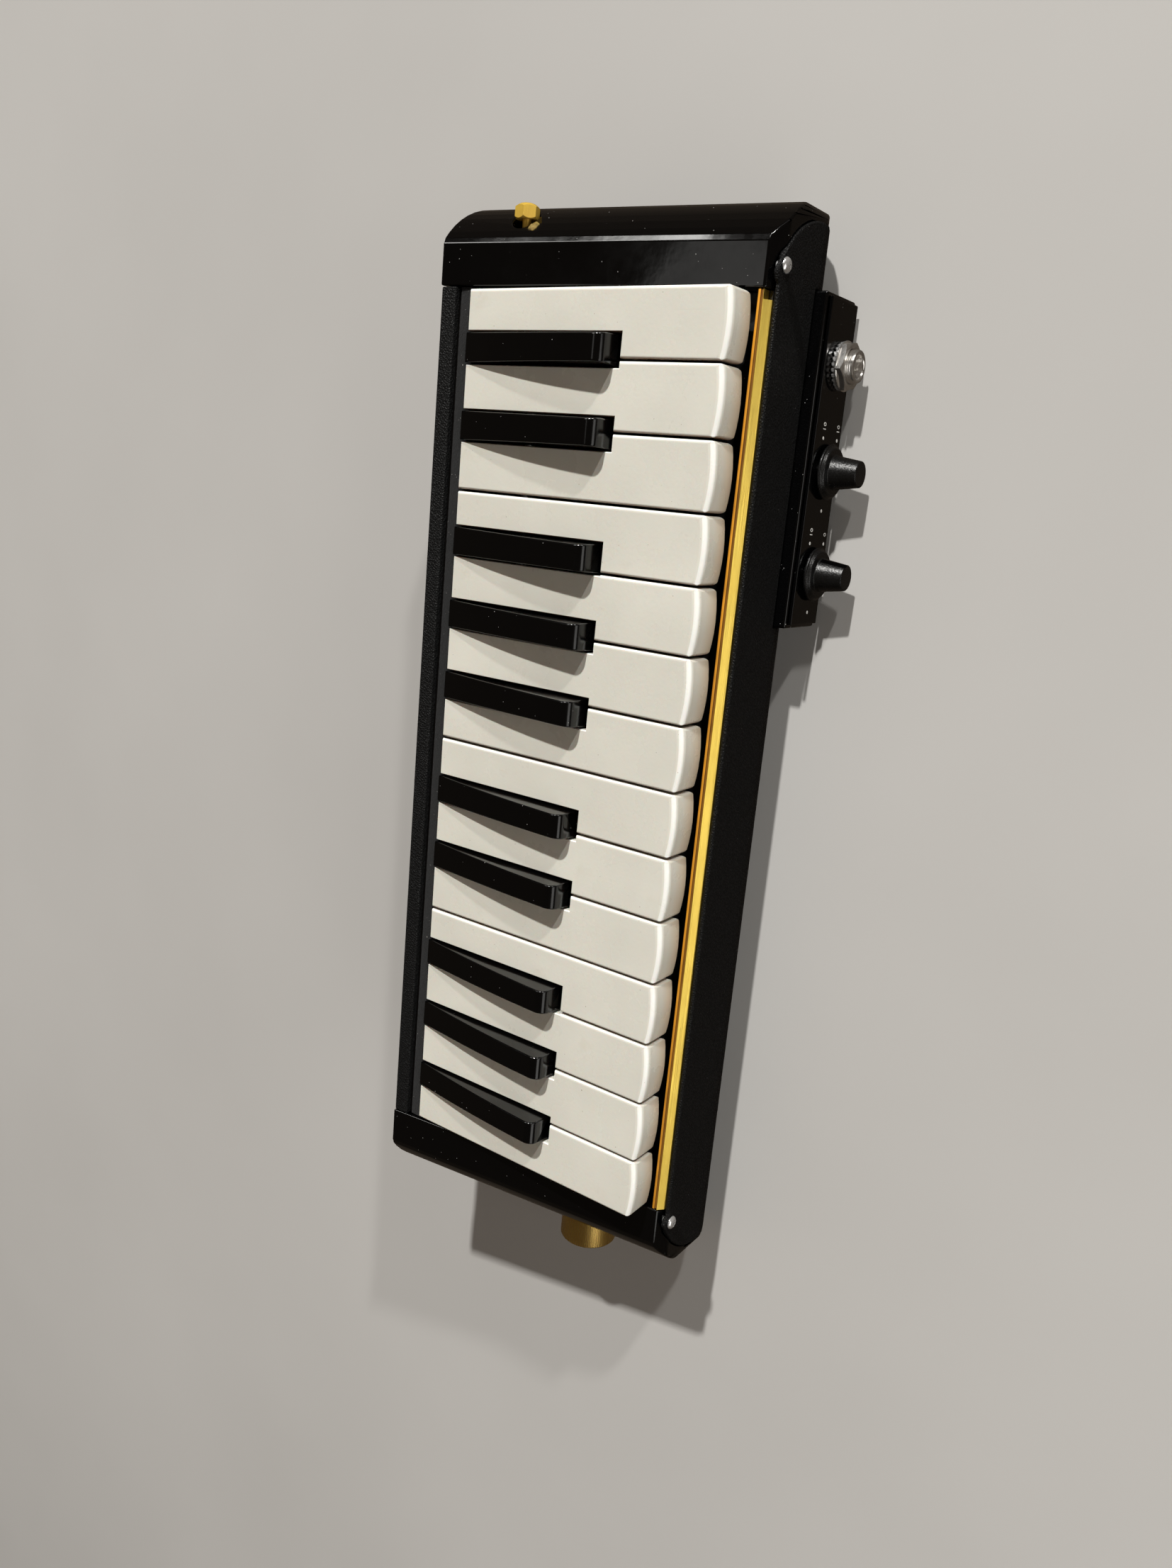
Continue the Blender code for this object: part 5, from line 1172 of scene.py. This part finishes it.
SOCKET_MOUTH = 7.0
SOCKET_MOUTH_DEPTH = 13.0
SOCKET_BORE = 4.5
SOCKET_SPIGOT = 6.0
SOCKET_SLEEVE = 27.3
SOCKET_ROUNDING = 0.3


def make_socket():
    """A sleeve with a wide mouth outside and a narrower spigot inside the case."""
    low, high = corners("mouthpiece_socket")
    centre = Vector((low.x, (low.y + high.y) / 2, (low.z + high.z) / 2))
    radius = (high.y - low.y) / 2
    length = high.x - low.x
    outer = rounded([(SOCKET_MOUTH + 0.1, 0.0), (radius - 0.35, 0.0), (radius, -0.4),
                     (radius, -SOCKET_SLEEVE)], SOCKET_ROUNDING)
    lead_in = [(SOCKET_MOUTH, -SOCKET_MOUTH_DEPTH), (SOCKET_MOUTH, -0.8), (SOCKET_MOUTH + 0.1, -0.4),
               (SOCKET_MOUTH + 0.35, -0.06)]
    inner = [(SOCKET_SPIGOT, -SOCKET_SLEEVE), (SOCKET_SPIGOT, -length), (SOCKET_BORE, -length),
             (SOCKET_BORE, -SOCKET_MOUTH_DEPTH - 1), (SOCKET_MOUTH - 0.5, -SOCKET_MOUTH_DEPTH)]
    shape = lathe(lead_in + outer[1:] + inner, centre, "-X", SMOOTH_STEPS, closed=True)
    dressed(shape, "mouthpiece_socket", "brushed")


SCREW_TURNS = {"low_front_screw": 20.0, "high_front_screw": 62.0}
SCREW_SEAT = -7.5
SCREW_UNDERSIDE = 0.3
SCREW_SHANK = 1.2
SCREW_RIM_DROP = 0.95
# The domed head: radius, and how far below the top
SCREW_DOME = (0, 0), (0.6, 0.02), (1.1, 0.1), (1.55, 0.27), (1.9, 0.55)
RECESS_DEPTH = 0.9
RECESS_HALF_LENGTH = 1.25
RECESS_HALF_WIDTH = 0.26
RECESS_TAPER = (0.55, 0.6)


def make_screws():
    """Raised heads with a cross recess that narrows as it goes in."""
    for name, turn in SCREW_TURNS.items():
        low, high = corners(name)
        middle = Vector(((low.x + high.x) / 2, SCREW_SEAT, (low.z + high.z) / 2))
        radius = (high.x - low.x) / 2
        top = middle.y - low.y
        foot = middle.y - high.y
        head = [(reach, top - drop) for reach, drop in SCREW_DOME]
        head += [(radius, top - SCREW_RIM_DROP), (radius, SCREW_UNDERSIDE), (SCREW_SHANK, SCREW_UNDERSIDE),
                 (SCREW_SHANK, foot), (0, foot)]
        shape = lathe(head, middle, "-Y", SMALL_STEPS)
        for angle in (turn, turn + 90):
            wing = boxed((-RECESS_HALF_LENGTH, -top - 1, -RECESS_HALF_WIDTH),
                         (RECESS_HALF_LENGTH, -top + RECESS_DEPTH, RECESS_HALF_WIDTH))
            for vert in wing.verts:
                if vert.co.y > -top:
                    vert.co.x *= RECESS_TAPER[0]
                    vert.co.z *= RECESS_TAPER[1]
            place = Matrix.Translation(middle) @ Matrix.Rotation(math.radians(angle), 4, "Y")
            bmesh.ops.transform(wing, matrix=place, verts=wing.verts)
            shape = combined(shape, wing, "DIFFERENCE")
        dressed(shape, name, "chrome")


FOOT_GROOVES = 17
FOOT_GROOVE_HALF = 0.6
FOOT_GROOVE_DEPTH = 0.5


def make_feet():
    """Rubber strips with shallow grooves across their soles."""
    for name in ("low_foot_strip", "high_foot_strip"):
        low, high = corners(name)
        start, stop = padded(low, high)
        stop.z = low.z + FOOT_GROOVE_DEPTH
        grooves = []
        for index in range(FOOT_GROOVES):
            y = low.y + (high.y - low.y) * (index + 1) / (FOOT_GROOVES + 1)
            start.y, stop.y = y - FOOT_GROOVE_HALF, y + FOOT_GROOVE_HALF
            grooves.append(boxed(start, stop))
        dressed(combined(shape_of(name), joined(*grooves), "DIFFERENCE"), name, "rubber")


def make_stage():
    shape = bmesh.new()
    bmesh.ops.create_grid(shape, x_segments=1, y_segments=1, size=FLOOR_HALF)
    mesh = bpy.data.meshes.new("floor")
    shape.to_mesh(mesh)
    shape.free()
    mesh.materials.append(pale_floor())
    floor = bpy.data.objects.new("floor", mesh)
    floor.visible_glossy = False
    bpy.context.scene.collection.objects.link(floor)


make_camera()
make_lights()
make_stage()
make_keys()
make_case()
make_trim()
make_felt()
make_knob("volume_knob", VOLUME_POINTER)
make_knob("balance_knob", BALANCE_POINTER)
make_marks("volume_marks", VOLUME_DOTS, VOLUME_NUMERALS)
make_marks("balance_marks", BALANCE_DOTS, BALANCE_NUMERALS)
make_jack()
make_nut()
make_washer()
make_drain()
make_socket()
make_screws()
make_feet()
